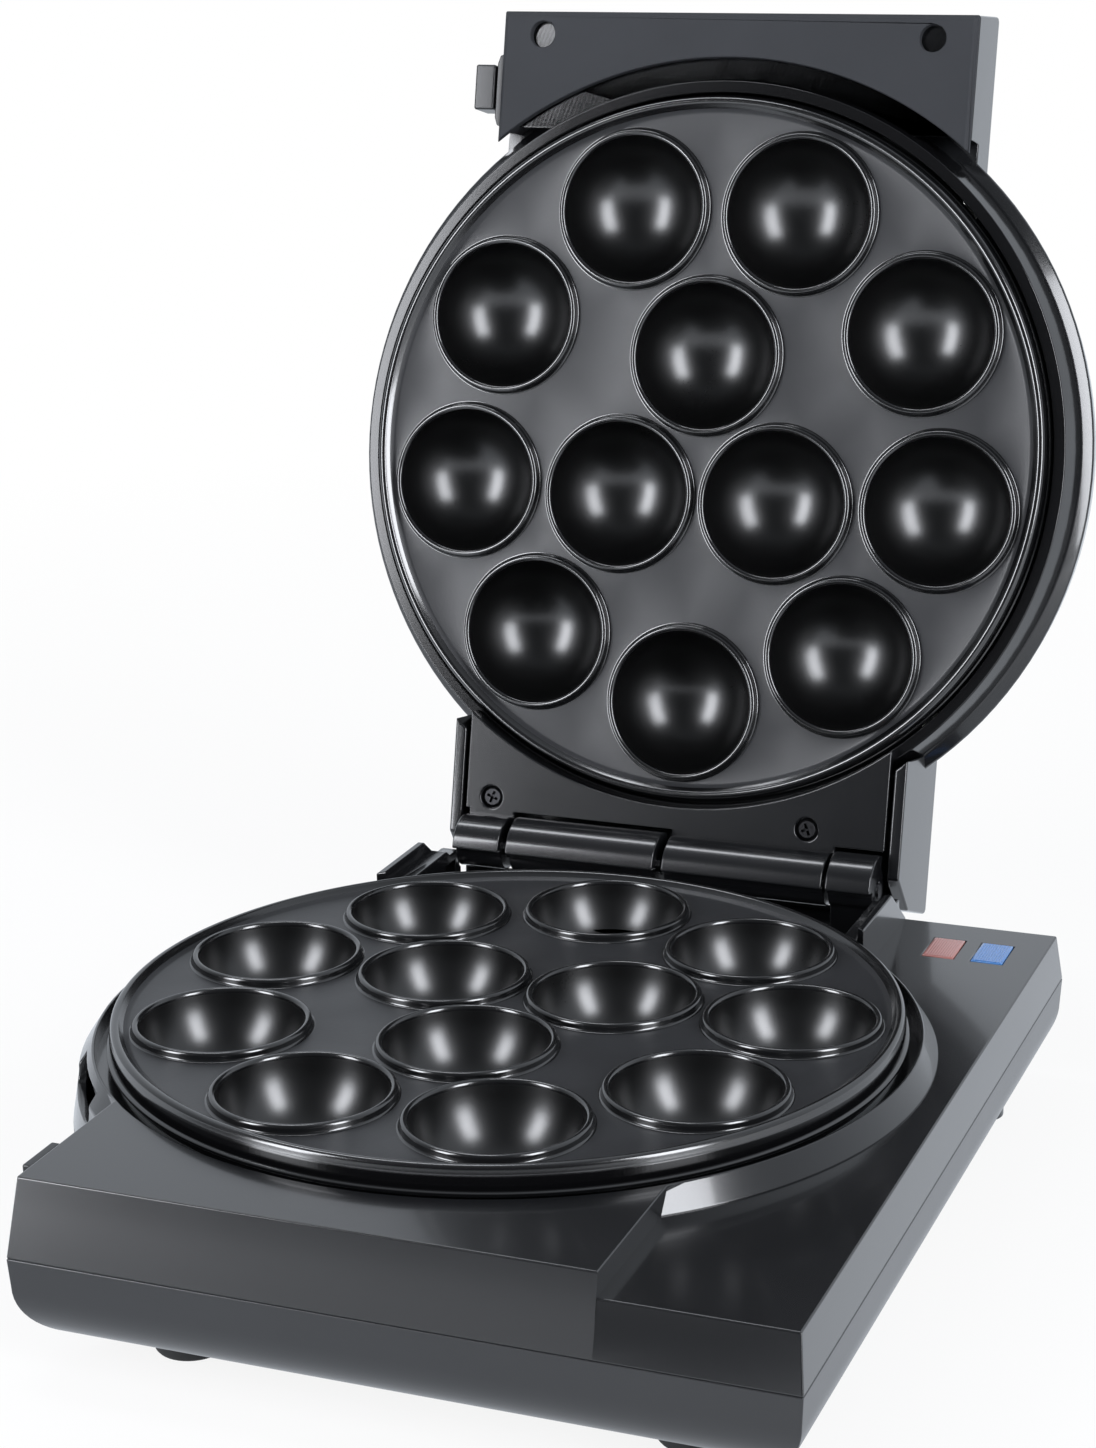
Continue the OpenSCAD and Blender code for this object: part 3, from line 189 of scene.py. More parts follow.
mix = wire(tree, "ShaderNodeMixShader", {
    "Fac": amount.outputs[0], 1: paint.outputs[0], 2: glow.outputs[0],
})
clear = wire(tree, "ShaderNodeBsdfTransparent")
side = wire(tree, "ShaderNodeNewGeometry")
one_sided = wire(tree, "ShaderNodeMixShader", {
    "Fac": side.outputs["Backfacing"], 1: mix.outputs[0], 2: clear.outputs[0],
})
wire(tree, "ShaderNodeOutputMaterial", {"Surface": one_sided.outputs[0]})
floor_mesh.materials.append(floor_look)


# Lower tray of the base: one injection moulding in satin near-black plastic with a
# rounded bottom edge. It carries the deck on five screws driven up from below.
def clear_width(edge, face):
    """How far the face runs inwards from the middle of one of its edges, within its plane."""
    a, b = edge.verts[0].co, edge.verts[1].co
    middle = (a + b) / 2
    along = (b - a).normalized()
    loop = next(loop for loop in face.loops if loop.edge == edge)
    inward = face.normal.cross((loop.link_loop_next.vert.co - loop.vert.co).normalized())
    nearest = 1.0
    for other in face.edges:
        if other == edge:
            continue
        p, q = other.verts[0].co - middle, other.verts[1].co - middle
        u0, u1 = p.dot(along), q.dot(along)
        if (u0 > 0) == (u1 > 0) or abs(u1 - u0) < 1e-9:
            continue
        share = u0 / (u0 - u1)
        depth = p.dot(inward) + share * (q.dot(inward) - p.dot(inward))
        if depth > 1e-6:
            nearest = min(nearest, depth)
    return nearest


def moulded_edges(node, name, width, least_angle=28, steps=3):
    """A copy of a CAD node whose outward sharp edges are rounded as a mould leaves them."""
    solid = bmesh.new()
    solid.from_mesh(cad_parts[node].data)
    bmesh.ops.remove_doubles(solid, verts=solid.verts, dist=1e-6)
    bmesh.ops.dissolve_degenerate(solid, dist=2e-6, edges=solid.edges)
    bmesh.ops.dissolve_limit(
        solid, angle_limit=math.radians(0.3), verts=solid.verts, edges=solid.edges
    )
    solid.normal_update()
    weights = solid.edges.layers.float.new("bevel_weight_edge")
    for face in solid.faces:
        face.smooth = True
    for edge in solid.edges:
        if len(edge.link_faces) != 2 or edge.calc_face_angle(0) < math.radians(least_angle):
            continue
        edge.smooth = False
        if not edge.is_convex:
            continue
        room = min(clear_width(edge, face) for face in edge.link_faces)
        share = min(1.0, 0.4 * room / (width * mm))
        edge[weights] = share
        if share > 0.1:
            edge.smooth = True
    mesh = bpy.data.meshes.new(name)
    solid.to_mesh(mesh)
    solid.free()
    piece = bpy.data.objects.new(name, mesh)
    bpy.context.scene.collection.objects.link(piece)
    rounding = piece.modifiers.new("mould_radius", "BEVEL")
    rounding.limit_method = "WEIGHT"
    rounding.width = width * mm
    rounding.segments = steps
    rounding.use_clamp_overlap = False
    rounding.miter_outer = "MITER_SHARP"
    even = piece.modifiers.new("even_light", "WEIGHTED_NORMAL")
    even.keep_sharp = True
    even.weight = 60
    return piece


def mould_texture():
    """Node group: the fine spark-eroded grain of a moulding, with faint handling marks."""
    group = bpy.data.node_groups.new("mould_texture", "ShaderNodeTree")
    for name, kind, value in (
        ("Color", "NodeSocketColor", (0.01, 0.01, 0.01, 1)),
        ("Roughness", "NodeSocketFloat", 0.3),
        ("Grain Size", "NodeSocketFloat", 2200.0),
        ("Grain Depth", "NodeSocketFloat", 0.3),
        ("Marks", "NodeSocketFloat", 0.06),
    ):
        group.interface.new_socket(name, in_out="INPUT", socket_type=kind).default_value = value
    for name in ("Color", "Roughness", "Height"):
        kind = "NodeSocketColor" if name == "Color" else "NodeSocketFloat"
        group.interface.new_socket(name, in_out="OUTPUT", socket_type=kind)
    given = wire(group, "NodeGroupInput").outputs
    place = wire(group, "ShaderNodeTexCoord")
    grain = wire(group, "ShaderNodeTexNoise", {
        "Vector": place.outputs["Object"], "Scale": given["Grain Size"], "Detail": 3.0,
        "Roughness": 0.6,
    })
    depth = wire(group, "ShaderNodeMath", {
        0: grain.outputs["Fac"], 1: given["Grain Depth"],
    }, operation="MULTIPLY")
    smudge = wire(group, "ShaderNodeTexNoise", {
        "Vector": place.outputs["Object"], "Scale": 26.0, "Detail": 6.0, "Roughness": 0.62,
        "Distortion": 0.6,
    })
    centred = wire(group, "ShaderNodeMath", {0: smudge.outputs["Fac"], 1: 0.5}, operation="SUBTRACT")
    spread = wire(group, "ShaderNodeMath", {
        0: centred.outputs[0], 1: given["Marks"], 2: given["Roughness"],
    }, operation="MULTIPLY_ADD")
    total = wire(group, "ShaderNodeMath", {
        0: grain.outputs["Fac"], 1: 0.03, 2: spread.outputs[0],
    }, operation="MULTIPLY_ADD", use_clamp=True)
    shade = wire(group, "ShaderNodeMapRange", {
        "Value": smudge.outputs["Fac"], "To Min": 0.82, "To Max": 1.18,
    })
    tint = wire(group, "ShaderNodeVectorMath", {
        0: given["Color"], "Scale": shade.outputs["Result"],
    }, operation="SCALE")
    wire(group, "NodeGroupOutput", {
        "Color": tint.outputs[0], "Roughness": total.outputs[0], "Height": depth.outputs[0],
    })
    return group


mould_texture_group = mould_texture()


def finish_look(name, color, roughness, grain_size=2200.0, grain_depth=0.3, marks=0.06,
                bump=0.00001, metallic=0.0, ior=1.5, coat=0.0, transmission=0.0):
    """A material whose colour, roughness and relief come from the mould_texture group."""
    look = bpy.data.materials.new(name)
    look.use_nodes = True
    tree = look.node_tree
    skin = tree.nodes["Principled BSDF"]
    skin.inputs["Metallic"].default_value = metallic
    skin.inputs["IOR"].default_value = ior
    skin.inputs["Coat Weight"].default_value = coat
    skin.inputs["Coat Roughness"].default_value = 0.08
    skin.inputs["Transmission Weight"].default_value = transmission
    texture = wire(tree, "ShaderNodeGroup", node_tree=mould_texture_group)
    texture.inputs["Color"].default_value = (*color, 1)
    texture.inputs["Roughness"].default_value = roughness
    texture.inputs["Grain Size"].default_value = grain_size
    texture.inputs["Grain Depth"].default_value = grain_depth
    texture.inputs["Marks"].default_value = marks
    relief = wire(tree, "ShaderNodeBump", {"Height": texture.outputs["Height"], "Distance": bump})
    tree.links.new(texture.outputs["Color"], skin.inputs["Base Color"])
    tree.links.new(texture.outputs["Roughness"], skin.inputs["Roughness"])
    tree.links.new(relief.outputs["Normal"], skin.inputs["Normal"])
    return look


tray_look = finish_look("tray_satin", (0.013, 0.0136, 0.0152), 0.33, grain_depth=0.6, coat=0.3)
lower_tray = moulded_edges("base_bottom_shell", "lower_tray", 0.35)
lower_tray.data.materials.append(tray_look)
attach(lower_tray, "base")
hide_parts("base_bottom_shell")

# Deck of the base: the upper moulding, with the raised front strip, the low deck beside
# it, the ring round the plate and the two rear walls. Satin-gloss black plastic.
shell_look = finish_look("shell_black", (0.0065, 0.0068, 0.0076), 0.2, grain_depth=0.25, coat=0.5)
base_deck = moulded_edges("base_top_shell", "base_deck", 0.45)
base_deck.data.materials.append(shell_look)
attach(base_deck, "base")
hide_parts("base_top_shell")

# Lip of the hinge well: a low wall with rounded edges, moulded along the deck's rear edge,
# which closes the well below the hinge barrel. Same black plastic as the deck.
well_lip_size = Vector((124.8, 1.7, 6.6))
well_lip_middle = Vector((-2.9, 82.2, 37.0))
well_lip_solid = bmesh.new()
bmesh.ops.create_cube(well_lip_solid, size=1)
for vert in well_lip_solid.verts:
    vert.co = (vert.co * well_lip_size + well_lip_middle) * mm
bmesh.ops.bevel(
    well_lip_solid, geom=well_lip_solid.edges[:], offset=0.8 * mm, segments=4, profile=0.5,
    affect="EDGES",
)
for face in well_lip_solid.faces:
    face.smooth = True
well_lip_mesh = bpy.data.meshes.new("hinge_well_lip")
well_lip_solid.to_mesh(well_lip_mesh)
well_lip_solid.free()
well_lip_mesh.set_sharp_from_angle(angle=math.radians(40))
well_lip_mesh.materials.append(shell_look)
well_lip = bpy.data.objects.new("hinge_well_lip", well_lip_mesh)
bpy.context.scene.collection.objects.link(well_lip)
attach(well_lip, "base")

# Baking plates: cast aluminium with twelve half-round cups, a raised lip round each and
# a bead round the edge. Sprayed with non-stick; the field is blasted, lips are smooth.
plate_r = 97.2
cup_r = 20.05
lip_r = 0.875
lip_w = 2 * lip_r
foot_r = 0.7
field_drop = 2.25
plate_wall = 2.2
outer_cup_gap = 5.4
inner_cup_gap = 1.95
outer_circle_r = plate_r - outer_cup_gap - lip_w - cup_r
inner_circle_r = (2 * (cup_r + lip_w) + inner_cup_gap) / math.sqrt(3)
element_r = (outer_circle_r + inner_circle_r) / 2
cup_places = [
    (outer_circle_r * math.sin(math.radians(a)), -outer_circle_r * math.cos(math.radians(a)))
    for a in range(20, 360, 40)
] + [
    (inner_circle_r * math.sin(math.radians(a)), -inner_circle_r * math.cos(math.radians(a)))
    for a in (0, 120, 240)
]
FIELD, BEAD, CUP, WALL = 0, 1, 2, 3


def arc(x, y, r, start, end, steps):
    """Points of an arc of radius r round (x, y), from one angle in degrees to another."""
    turn = [math.radians(start + (end - start) * i / steps) for i in range(steps + 1)]
    return [(x + r * math.cos(t), y + r * math.sin(t)) for t in turn]


def turned(solid, profile, finishes, steps, x=0.0, y=0.0, flip=False):
    """Turns a profile of (radius, height) round an upright axis; gives its end rings."""
    rings = []
    for r, z in profile:
        if r < 1e-6:
            rings.append([solid.verts.new((x, y, z))])
            continue
        rings.append([
            solid.verts.new((
                x + r * math.cos(2 * math.pi * i / steps),
                y + r * math.sin(2 * math.pi * i / steps), z,
            ))
            for i in range(steps)
        ])
    for j in range(len(rings) - 1):
        a, b = rings[j], rings[j + 1]
        for i in range(steps):
            k = (i + 1) % steps
            if len(a) == 1:
                corners = [a[0], b[i], b[k]]
            elif len(b) == 1:
                corners = [a[i], b[0], a[k]]
            else:
                corners = [a[i], b[i], b[k], a[k]]
            if flip:
                corners.reverse()
            face = solid.faces.new(corners)
            face.material_index = finishes[j] if isinstance(finishes, list) else finishes
            face.smooth = True
    return rings[0], rings[-1]


def ring_edges(solid, ring):
    """The edges that join a ring's points, one after another."""
    return [solid.edges.get((ring[i], ring[(i + 1) % len(ring)])) for i in range(len(ring))]


def baking_plate():
    """One plate, face up, its lips at height 0, in millimetres."""
    solid = bmesh.new()
    cup_steps, rim_steps = 80, 256
    bowl = arc(0, 0, cup_r, -90, -3.5, 22)
    bowl[0] = (0, -cup_r)
    lip = arc(cup_r + lip_r, -lip_r, lip_r, 172, 0, 9)
    foot = arc(cup_r + lip_w + foot_r, -field_drop + foot_r, foot_r, 180, 270, 5)
    profile = bowl + lip + foot
    kinds = [CUP] * (len(bowl) - 1) + [BEAD] * (len(lip) + len(foot))
    top_edges = []
    for x, y in cup_places:
        _, last = turned(solid, profile, kinds, cup_steps, x, y)
        top_edges += ring_edges(solid, last)
    edge = (
        [(plate_r - 4.9, -field_drop), (plate_r - 4.3, -2.05), (plate_r - 3.5, -1.35)]
        + arc(plate_r - 1.55, -1.3, 1.25, 150, 0, 12)
        + [(plate_r - 0.12, -1.9), (plate_r, -2.6), (plate_r, -5.8), (plate_r + 0.6, -6),
           (plate_r + 0.8, -6.2), (plate_r + 0.8, -6.8), (plate_r + 0.6, -7),
           (plate_r - 1, -7), (plate_r - 1, -9.4), (plate_r - 2.8, -9.4),
           (plate_r - 2.8, -field_drop - plate_wall)]
    )
    edge_kinds = [FIELD] * 2 + [
        WALL if a[0] == b[0] == plate_r else BEAD for a, b in zip(edge[2:], edge[3:])
    ]
    first, last = turned(solid, edge, edge_kinds, rim_steps)
    top_edges += ring_edges(solid, first)
    bmesh.ops.triangle_fill(solid, use_beauty=True, edges=top_edges, normal=(0, 0, 1))
    under_edges = ring_edges(solid, last)
    outside_r = cup_r + plate_wall
    rise = math.degrees(math.asin((field_drop + plate_wall) / outside_r))
    shell = arc(0, 0, outside_r, -90, -rise, 14)
    shell[0] = (0, -outside_r)
    for x, y in cup_places:
        _, last = turned(solid, shell, BEAD, 48, x, y, flip=True)
        under_edges += ring_edges(solid, last)
    bmesh.ops.triangle_fill(solid, use_beauty=True, edges=under_edges, normal=(0, 0, -1))
    post_r, post_top, post_foot = 3.25, -field_drop - 3, -22.9
    for a in (40, 160, 280):
        x, y = element_r * math.sin(math.radians(a)), -element_r * math.cos(math.radians(a))
        post = [(0, post_top), (post_r, post_top), (post_r, post_foot), (0, post_foot)]
        turned(solid, post, BEAD, 32, x, y)
    bmesh.ops.recalc_face_normals(solid, faces=solid.faces)
    around = solid.loops.layers.uv.new("around_edge")
    for face in solid.faces:
        if face.material_index == WALL:
            middle = face.calc_center_median()
            turn = math.atan2(middle.y, middle.x)
            for loop in face.loops:
                x, y, z = loop.vert.co
                step = (math.atan2(y, x) - turn + math.pi) % (2 * math.pi) - math.pi
                loop[around].uv = ((turn + step) * plate_r, z)
    return solid


def cast_piece(solid, name, place, looks):
    """Scales a piece to metres, moves it to its place and gives it its finishes."""
    bmesh.ops.transform(solid, matrix=place @ Matrix.Scale(mm, 4), verts=solid.verts)
    if place.determinant() < 0:
        bmesh.ops.reverse_faces(solid, faces=solid.faces)
    for face in solid.faces:
        face.smooth = True
    mesh = bpy.data.meshes.new(name)
    solid.to_mesh(mesh)
    solid.free()
    mesh.set_sharp_from_angle(angle=math.radians(38))
    for look in looks:
        mesh.materials.append(look)
    piece = bpy.data.objects.new(name, mesh)
    bpy.context.scene.collection.objects.link(piece)
    return piece


lip_z, hinge_y, hinge_z, open_angle = 52.0, 115.8, 48.06, 102.64
table_place = Matrix.Translation(Vector((-2.9, -38.5106, 0)) * mm)
lid_place = (
    table_place
    @ Matrix.Translation(Vector((0, hinge_y, hinge_z)) * mm)
    @ Matrix.Rotation(math.radians(-open_angle), 4, "X")
    @ Matrix.Translation(Vector((0, -hinge_y, lip_z - hinge_z)) * mm)
)
# Field and cups share one non-stick coating. The field's lighter grey is partly its blasted grain
# and partly painted sheen.
plate_field_grain_and_sheen_look = finish_look(
    "nonstick_field_grain_and_sheen", (0.018, 0.0186, 0.0205), 0.4, 1300.0, 1.0, 0.10, 0.00002
)
plate_bead_look = finish_look(
    "nonstick_lips", (0.004, 0.0041, 0.0045), 0.15, 1800.0, 0.4, 0.05, ior=1.8
)
# The cups' near-black colour is painted shade, far darker than the same coating on the field.
plate_cup_painted_shade_look = finish_look(
    "nonstick_cups_painted_shade", (0.0012, 0.0012, 0.0013), 0.27, 1800.0, 0.5, 0.05, ior=1.75
)
# The outer wall's near-black colour is painted shade, standing in for the dark deck that it
# reflects; its turned lines come from the relief.
plate_wall_painted_shade_look = finish_look(
    "turned_edge_painted_shade", (0.0025, 0.0025, 0.0028), 0.14, 1800.0, 0.4, 0.05, ior=1.35
)
tree = plate_wall_painted_shade_look.node_tree
strip = wire(tree, "ShaderNodeUVMap", uv_map="around_edge")
stretch = wire(tree, "ShaderNodeMapping", {"Vector": strip.outputs[0], "Scale": (0.9, 0.03, 1.0)})
lines = wire(tree, "ShaderNodeTexNoise", {
    "Vector": stretch.outputs[0], "Scale": 1.0, "Detail": 3.0, "Roughness": 0.6,
})
relief = tree.nodes["Bump"]
relief.inputs["Distance"].default_value = 0.00005
relief.inputs["Strength"].default_value = 0.5
tree.links.new(lines.outputs["Fac"], relief.inputs["Height"])
plate_looks = [plate_field_grain_and_sheen_look, plate_bead_look, plate_cup_painted_shade_look, plate_wall_painted_shade_look]
lower_plate_place = table_place @ Matrix.Translation(Vector((0, 0, lip_z)) * mm)
lower_plate = cast_piece(baking_plate(), "lower_plate", lower_plate_place, plate_looks)
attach(lower_plate, "base")
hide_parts("base_plate")
upper_plate_place = lid_place @ Matrix.Scale(-1, 4, (0, 0, 1))
upper_plate = cast_piece(baking_plate(), "upper_plate", upper_plate_place, plate_looks)
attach(upper_plate, "lid")
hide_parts("lid_plate")

# Lid: the round cover with its handle block and rear cheeks is one moulding; the ring
# round the plate, the handle's inner face and the hinge cover are screwed into it.
lid_cover = moulded_edges("lid_outer_shell", "lid_cover", 0.7)
lid_cover.data.materials.append(shell_look)
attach(lid_cover, "lid")
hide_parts("lid_outer_shell")

gloss_look = finish_look("ring_gloss", (0.004, 0.004, 0.0044), 0.11, grain_depth=0.2)
lid_ring = moulded_edges("lid_inner_frame", "lid_ring", 0.4)
lid_ring.data.materials.append(gloss_look)
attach(lid_ring, "lid")
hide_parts("lid_inner_frame")

anthracite_look = finish_look(
    "anthracite_satin", (0.031, 0.0326, 0.0364), 0.6, grain_depth=0.8, bump=0.000014, ior=1.25
)
handle_face = moulded_edges("lid_handle_cover", "handle_face", 0.4)
handle_face.data.materials.append(anthracite_look)
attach(handle_face, "lid")
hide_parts("lid_handle_cover")

hinge_cover = moulded_edges("lid_hinge_plate", "hinge_cover", 0.45)
hinge_cover.data.materials.append(shell_look)
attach(hinge_cover, "lid")
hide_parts("lid_hinge_plate")

# Release sliders: small moulded tabs that are pushed along the wall against a spring. The
# lid's tab stands in a raised surround. Same satin black plastic, a little finer in grain.
slider_look = finish_look("slider_satin", (0.009, 0.0092, 0.0098), 0.3, grain_depth=0.5)
for node, name, body, radius in (
    ("base_release_slider", "base_slider_tab", "base_slider", 0.5),
    ("lid_release_slider", "lid_slider_tab", "lid_slider", 0.6),
    ("lid_slider_bezel", "lid_slider_surround", "lid", 0.4),
):
    tab = moulded_edges(node, name, radius)
    tab.data.materials.append(slider_look)
    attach(tab, body)
    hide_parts(node)


# Screws: cross-head steel screws with a rolled thread, four kinds. The two pairs on the
# lid's inside are blackened, the others, driven from below or hidden, are zinc plated.
def tree_inputs(tree, sizes):
    """Gives a Geometry Nodes tree its named sizes, its material and its output."""
    for name, value in sizes:
        kind = "NodeSocketInt" if isinstance(value, int) else "NodeSocketFloat"
        tree.interface.new_socket(name, in_out="INPUT", socket_type=kind).default_value = value
    tree.interface.new_socket("Material", in_out="INPUT", socket_type="NodeSocketMaterial")
    tree.interface.new_socket("Geometry", in_out="OUTPUT", socket_type="NodeSocketGeometry")


def cross_head_screw():
    """Geometry Nodes: at each point a screw, its head's face at the point and facing down."""
    recess_reach, recess_depth, thread_root = 1.15, 0.0011, 0.78
    tip_length, tip_radius = 0.0016, 0.0003
    tree = bpy.data.node_groups.new("cross_head_screw", "GeometryNodeTree")
    tree.interface.new_socket("Spots", in_out="INPUT", socket_type="NodeSocketGeometry")
    tree_inputs(tree, (
        ("Head Radius", 0.003), ("Face Radius", 0.0024), ("Neck Radius", 0.003),
        ("Face Height", 0.0005), ("Head Height", 0.0018), ("Shank Radius", 0.0015),
        ("Length", 0.0138), ("Thread Pitch", 0.0011), ("Recess Width", 0.0008),
    ))
    given = wire(tree, "NodeGroupInput").outputs

    def maths(operation, a, b, c=0.0):
        return wire(tree, "ShaderNodeMath", {0: a, 1: b, 2: c}, operation=operation).outputs[0]

    def lifted(mesh, z, turn=0.0):
        at = wire(tree, "ShaderNodeCombineXYZ", {"Z": z}).outputs[0]
        return wire(tree, "GeometryNodeTransform", {
            "Geometry": mesh, "Translation": at, "Rotation": (0, 0, turn),
        }).outputs[0]

    def cone(low, high, depth, steps=36):
        return wire(tree, "GeometryNodeMeshCone", {
            "Vertices": steps, "Radius Bottom": low, "Radius Top": high, "Depth": depth,
        }).outputs[0]

    face = cone(given["Face Radius"], given["Head Radius"], given["Face Height"])
    under = maths("SUBTRACT", given["Head Height"], given["Face Height"])
    rim = lifted(cone(given["Head Radius"], given["Neck Radius"], under), given["Face Height"])
    head = wire(tree, "GeometryNodeMeshBoolean", {"Mesh 2": [face, rim]}, operation="UNION")
    reach = maths("MULTIPLY", given["Head Radius"], recess_reach)
    size = wire(tree, "ShaderNodeCombineXYZ", {
        "X": reach, "Y": given["Recess Width"], "Z": 2 * recess_depth,
    })
    wing = wire(tree, "GeometryNodeMeshCube", {"Size": size.outputs[0]}).outputs[0]
    cross = lifted(wing, 0.0, math.pi / 2)
    cut_head = wire(tree, "GeometryNodeMeshBoolean", {
        "Mesh 1": head.outputs[0], "Mesh 2": [wing, cross],
    }, operation="DIFFERENCE")
    core = maths("MULTIPLY", given["Shank Radius"], thread_root)
    run = maths("SUBTRACT", maths("SUBTRACT", given["Length"], given["Head Height"]), tip_length)
    shank = lifted(cone(core, core, run, 24), given["Head Height"])
    tip_z = maths("ADD", given["Head Height"], run)
    tip = lifted(cone(core, tip_radius, tip_length, 24), tip_z)
    half = maths("MULTIPLY", given["Thread Pitch"], 0.4)
    edge = maths("MULTIPLY", given["Shank Radius"], 0.995)
    turn_of_thread = wire(tree, "GeometryNodeJoinGeometry", {
        "Geometry": [cone(core, edge, half, 24), lifted(cone(edge, core, half, 24), half)],
    })
    count = maths("FLOOR", maths("DIVIDE", run, given["Thread Pitch"]), 0.0)
    start = wire(tree, "ShaderNodeCombineXYZ", {"Z": given["Head Height"]})
    pitch = wire(tree, "ShaderNodeCombineXYZ", {"Z": given["Thread Pitch"]})
    line = wire(tree, "GeometryNodeMeshLine", {
        "Count": count, "Start Location": start.outputs[0], "Offset": pitch.outputs[0],
    })
    thread = wire(tree, "GeometryNodeInstanceOnPoints", {
        "Points": line.outputs[0], "Instance": turn_of_thread.outputs[0],
    })
    whole = wire(tree, "GeometryNodeJoinGeometry", {
        "Geometry": [cut_head.outputs[0], shank, tip, thread.outputs[0]],
    })
    turn = wire(tree, "GeometryNodeInputNamedAttribute", {"Name": "turn"}, data_type="FLOAT_VECTOR")
    placed = wire(tree, "GeometryNodeInstanceOnPoints", {
        "Points": given["Spots"], "Instance": whole.outputs[0], "Rotation": turn.outputs[0],
    })
    real = wire(tree, "GeometryNodeRealizeInstances", {"Geometry": placed.outputs[0]})
    smooth = wire(tree, "GeometryNodeSetShadeSmooth", {"Geometry": real.outputs[0]})
    finished = wire(tree, "GeometryNodeSetMaterial", {
        "Geometry": smooth.outputs[0], "Material": given["Material"],
    })
    wire(tree, "NodeGroupOutput", {"Geometry": finished.outputs[0]})
    return tree


def grown(name, mesh, tree, sizes, look, place, angle=30):
    """Runs a Geometry Nodes tree on a mesh and gives a plain object, moved to its place."""
    piece = bpy.data.objects.new(name, mesh)
    bpy.context.scene.collection.objects.link(piece)
    growth = piece.modifiers.new("growth", "NODES")
    growth.node_group = tree
    for item in tree.interface.items_tree:
        if item.in_out == "INPUT" and item.name in sizes:
            growth[item.identifier] = sizes[item.name]
        if item.in_out == "INPUT" and item.name == "Material":
            growth[item.identifier] = look
    depsgraph = bpy.context.evaluated_depsgraph_get()
    result = bpy.data.meshes.new_from_object(piece.evaluated_get(depsgraph))
    piece.modifiers.clear()
    piece.data = result
    result.transform(place)
    result.set_sharp_from_angle(angle=math.radians(angle))
    return piece


def screw_spots(name, spots):
    """Points for screws, in millimetres, each cross recess turned on from the one before."""
    mesh = bpy.data.meshes.new(name)
    mesh.from_pydata([Vector(spot) * mm for spot in spots], [], [])
    turns = mesh.attributes.new("turn", "FLOAT_VECTOR", "POINT")
    for i in range(len(spots)):
        turns.data[i].vector = (0, 0, 0.35 + 0.83 * i)
    return mesh


def metal_look(name, color, roughness, grain_size=900.0):
    """Bare metal: the same grain and marks on a metallic surface."""
    return finish_look(name, color, roughness, grain_size, 0.4, 0.12, 0.00001, metallic=1.0)


screw_tree = cross_head_screw()
black_screw_look = metal_look("blackened_steel", (0.035, 0.035, 0.037), 0.32)
zinc_look = metal_look("zinc_plate", (0.58, 0.57, 0.53), 0.28)
pan_head = {"Head Radius": 0.003, "Face Radius": 0.0023, "Neck Radius": 0.003,
            "Face Height": 0.0005, "Head Height": 0.0018, "Shank Radius": 0.0015,
            "Length": 0.0138}
housing_head = {"Head Radius": 0.0035, "Face Radius": 0.0026, "Neck Radius": 0.0035,
                "Face Height": 0.0008, "Head Height": 0.0025, "Shank Radius": 0.00175,
                "Length": 0.023, "Thread Pitch": 0.0013, "Recess Width": 0.0009}
countersunk_head = {"Head Radius": 0.00298, "Face Radius": 0.0027, "Neck Radius": 0.0015,
                    "Face Height": 0.00012, "Head Height": 0.0018, "Shank Radius": 0.0015,
                    "Length": 0.011}
frame_screw_circle_r = 97
frame_screw_height = 10.05
frame_screws = [
    (
        frame_screw_circle_r * math.cos(math.radians(a)),
        frame_screw_circle_r * math.sin(math.radians(a)),
        frame_screw_height,
    )
    for a in (45, 135, 225, 315)
]
for node, spots, sizes, look, place, body, slot in (
    ("housing_screws", [(-56, -106, 11.5), (100, -106, 11.5), (103, 70, 11.5), (-56, 106, 11.5),
     (-98.5, 0, 11.5)], housing_head, zinc_look, table_place, "base", "zinc_steel"),
    ("handle_screws", [(-56.3, -114, 10.2), (56.3, -114, 10.2)],
     pan_head, black_screw_look, lid_place, "lid", "zinc_steel"),
    ("hinge_plate_screws", [(-54.2, 101.8, -0.7), (39.6, 101.6, -0.7)],
     pan_head, black_screw_look, lid_place, "lid", "zinc_steel"),
    ("lid_frame_screws", frame_screws, countersunk_head, zinc_look, lid_place, "lid", "zinc_steel"),
):
    screws = grown("driven_" + node, screw_spots(node, spots), screw_tree, sizes, look, place)
    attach(screws, body)
    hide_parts(node)


# Latch springs: compression coils of spring steel wire behind the sliders.
def coil_spring():
    """Geometry Nodes: one coil spring standing on the origin."""
    tree = bpy.data.node_groups.new("coil_spring", "GeometryNodeTree")
    tree_inputs(tree, (
        ("Length", 0.0084), ("Coil Radius", 0.0013), ("Wire Radius", 0.00028), ("Turns", 5.0),
    ))
    given = wire(tree, "NodeGroupInput").outputs
    thickness = wire(tree, "ShaderNodeMath", {
        0: given["Wire Radius"], 1: 2.0,
    }, operation="MULTIPLY")
    rise = wire(tree, "ShaderNodeMath", {
        0: given["Length"], 1: thickness.outputs[0],
    }, operation="SUBTRACT")
    spiral = wire(tree, "GeometryNodeCurveSpiral", {
        "Resolution": 28, "Rotations": given["Turns"], "Start Radius": given["Coil Radius"],
        "End Radius": given["Coil Radius"], "Height": rise.outputs[0],
    })
    section = wire(tree, "GeometryNodeCurvePrimitiveCircle", {
        "Resolution": 12, "Radius": given["Wire Radius"],
    })
    wire_mesh = wire(tree, "GeometryNodeCurveToMesh", {
        "Curve": spiral.outputs[0], "Profile Curve": section.outputs[0], "Fill Caps": True,
    })
    lift = wire(tree, "ShaderNodeCombineXYZ", {"Z": given["Wire Radius"]})
    raised = wire(tree, "GeometryNodeTransform", {
        "Geometry": wire_mesh.outputs[0], "Translation": lift.outputs[0],
    })
    real = wire(tree, "GeometryNodeRealizeInstances", {"Geometry": raised.outputs[0]})
    smooth = wire(tree, "GeometryNodeSetShadeSmooth", {"Geometry": real.outputs[0]})
    finished = wire(tree, "GeometryNodeSetMaterial", {
        "Geometry": smooth.outputs[0], "Material": given["Material"],
    })
    wire(tree, "NodeGroupOutput", {"Geometry": finished.outputs[0]})
    return tree


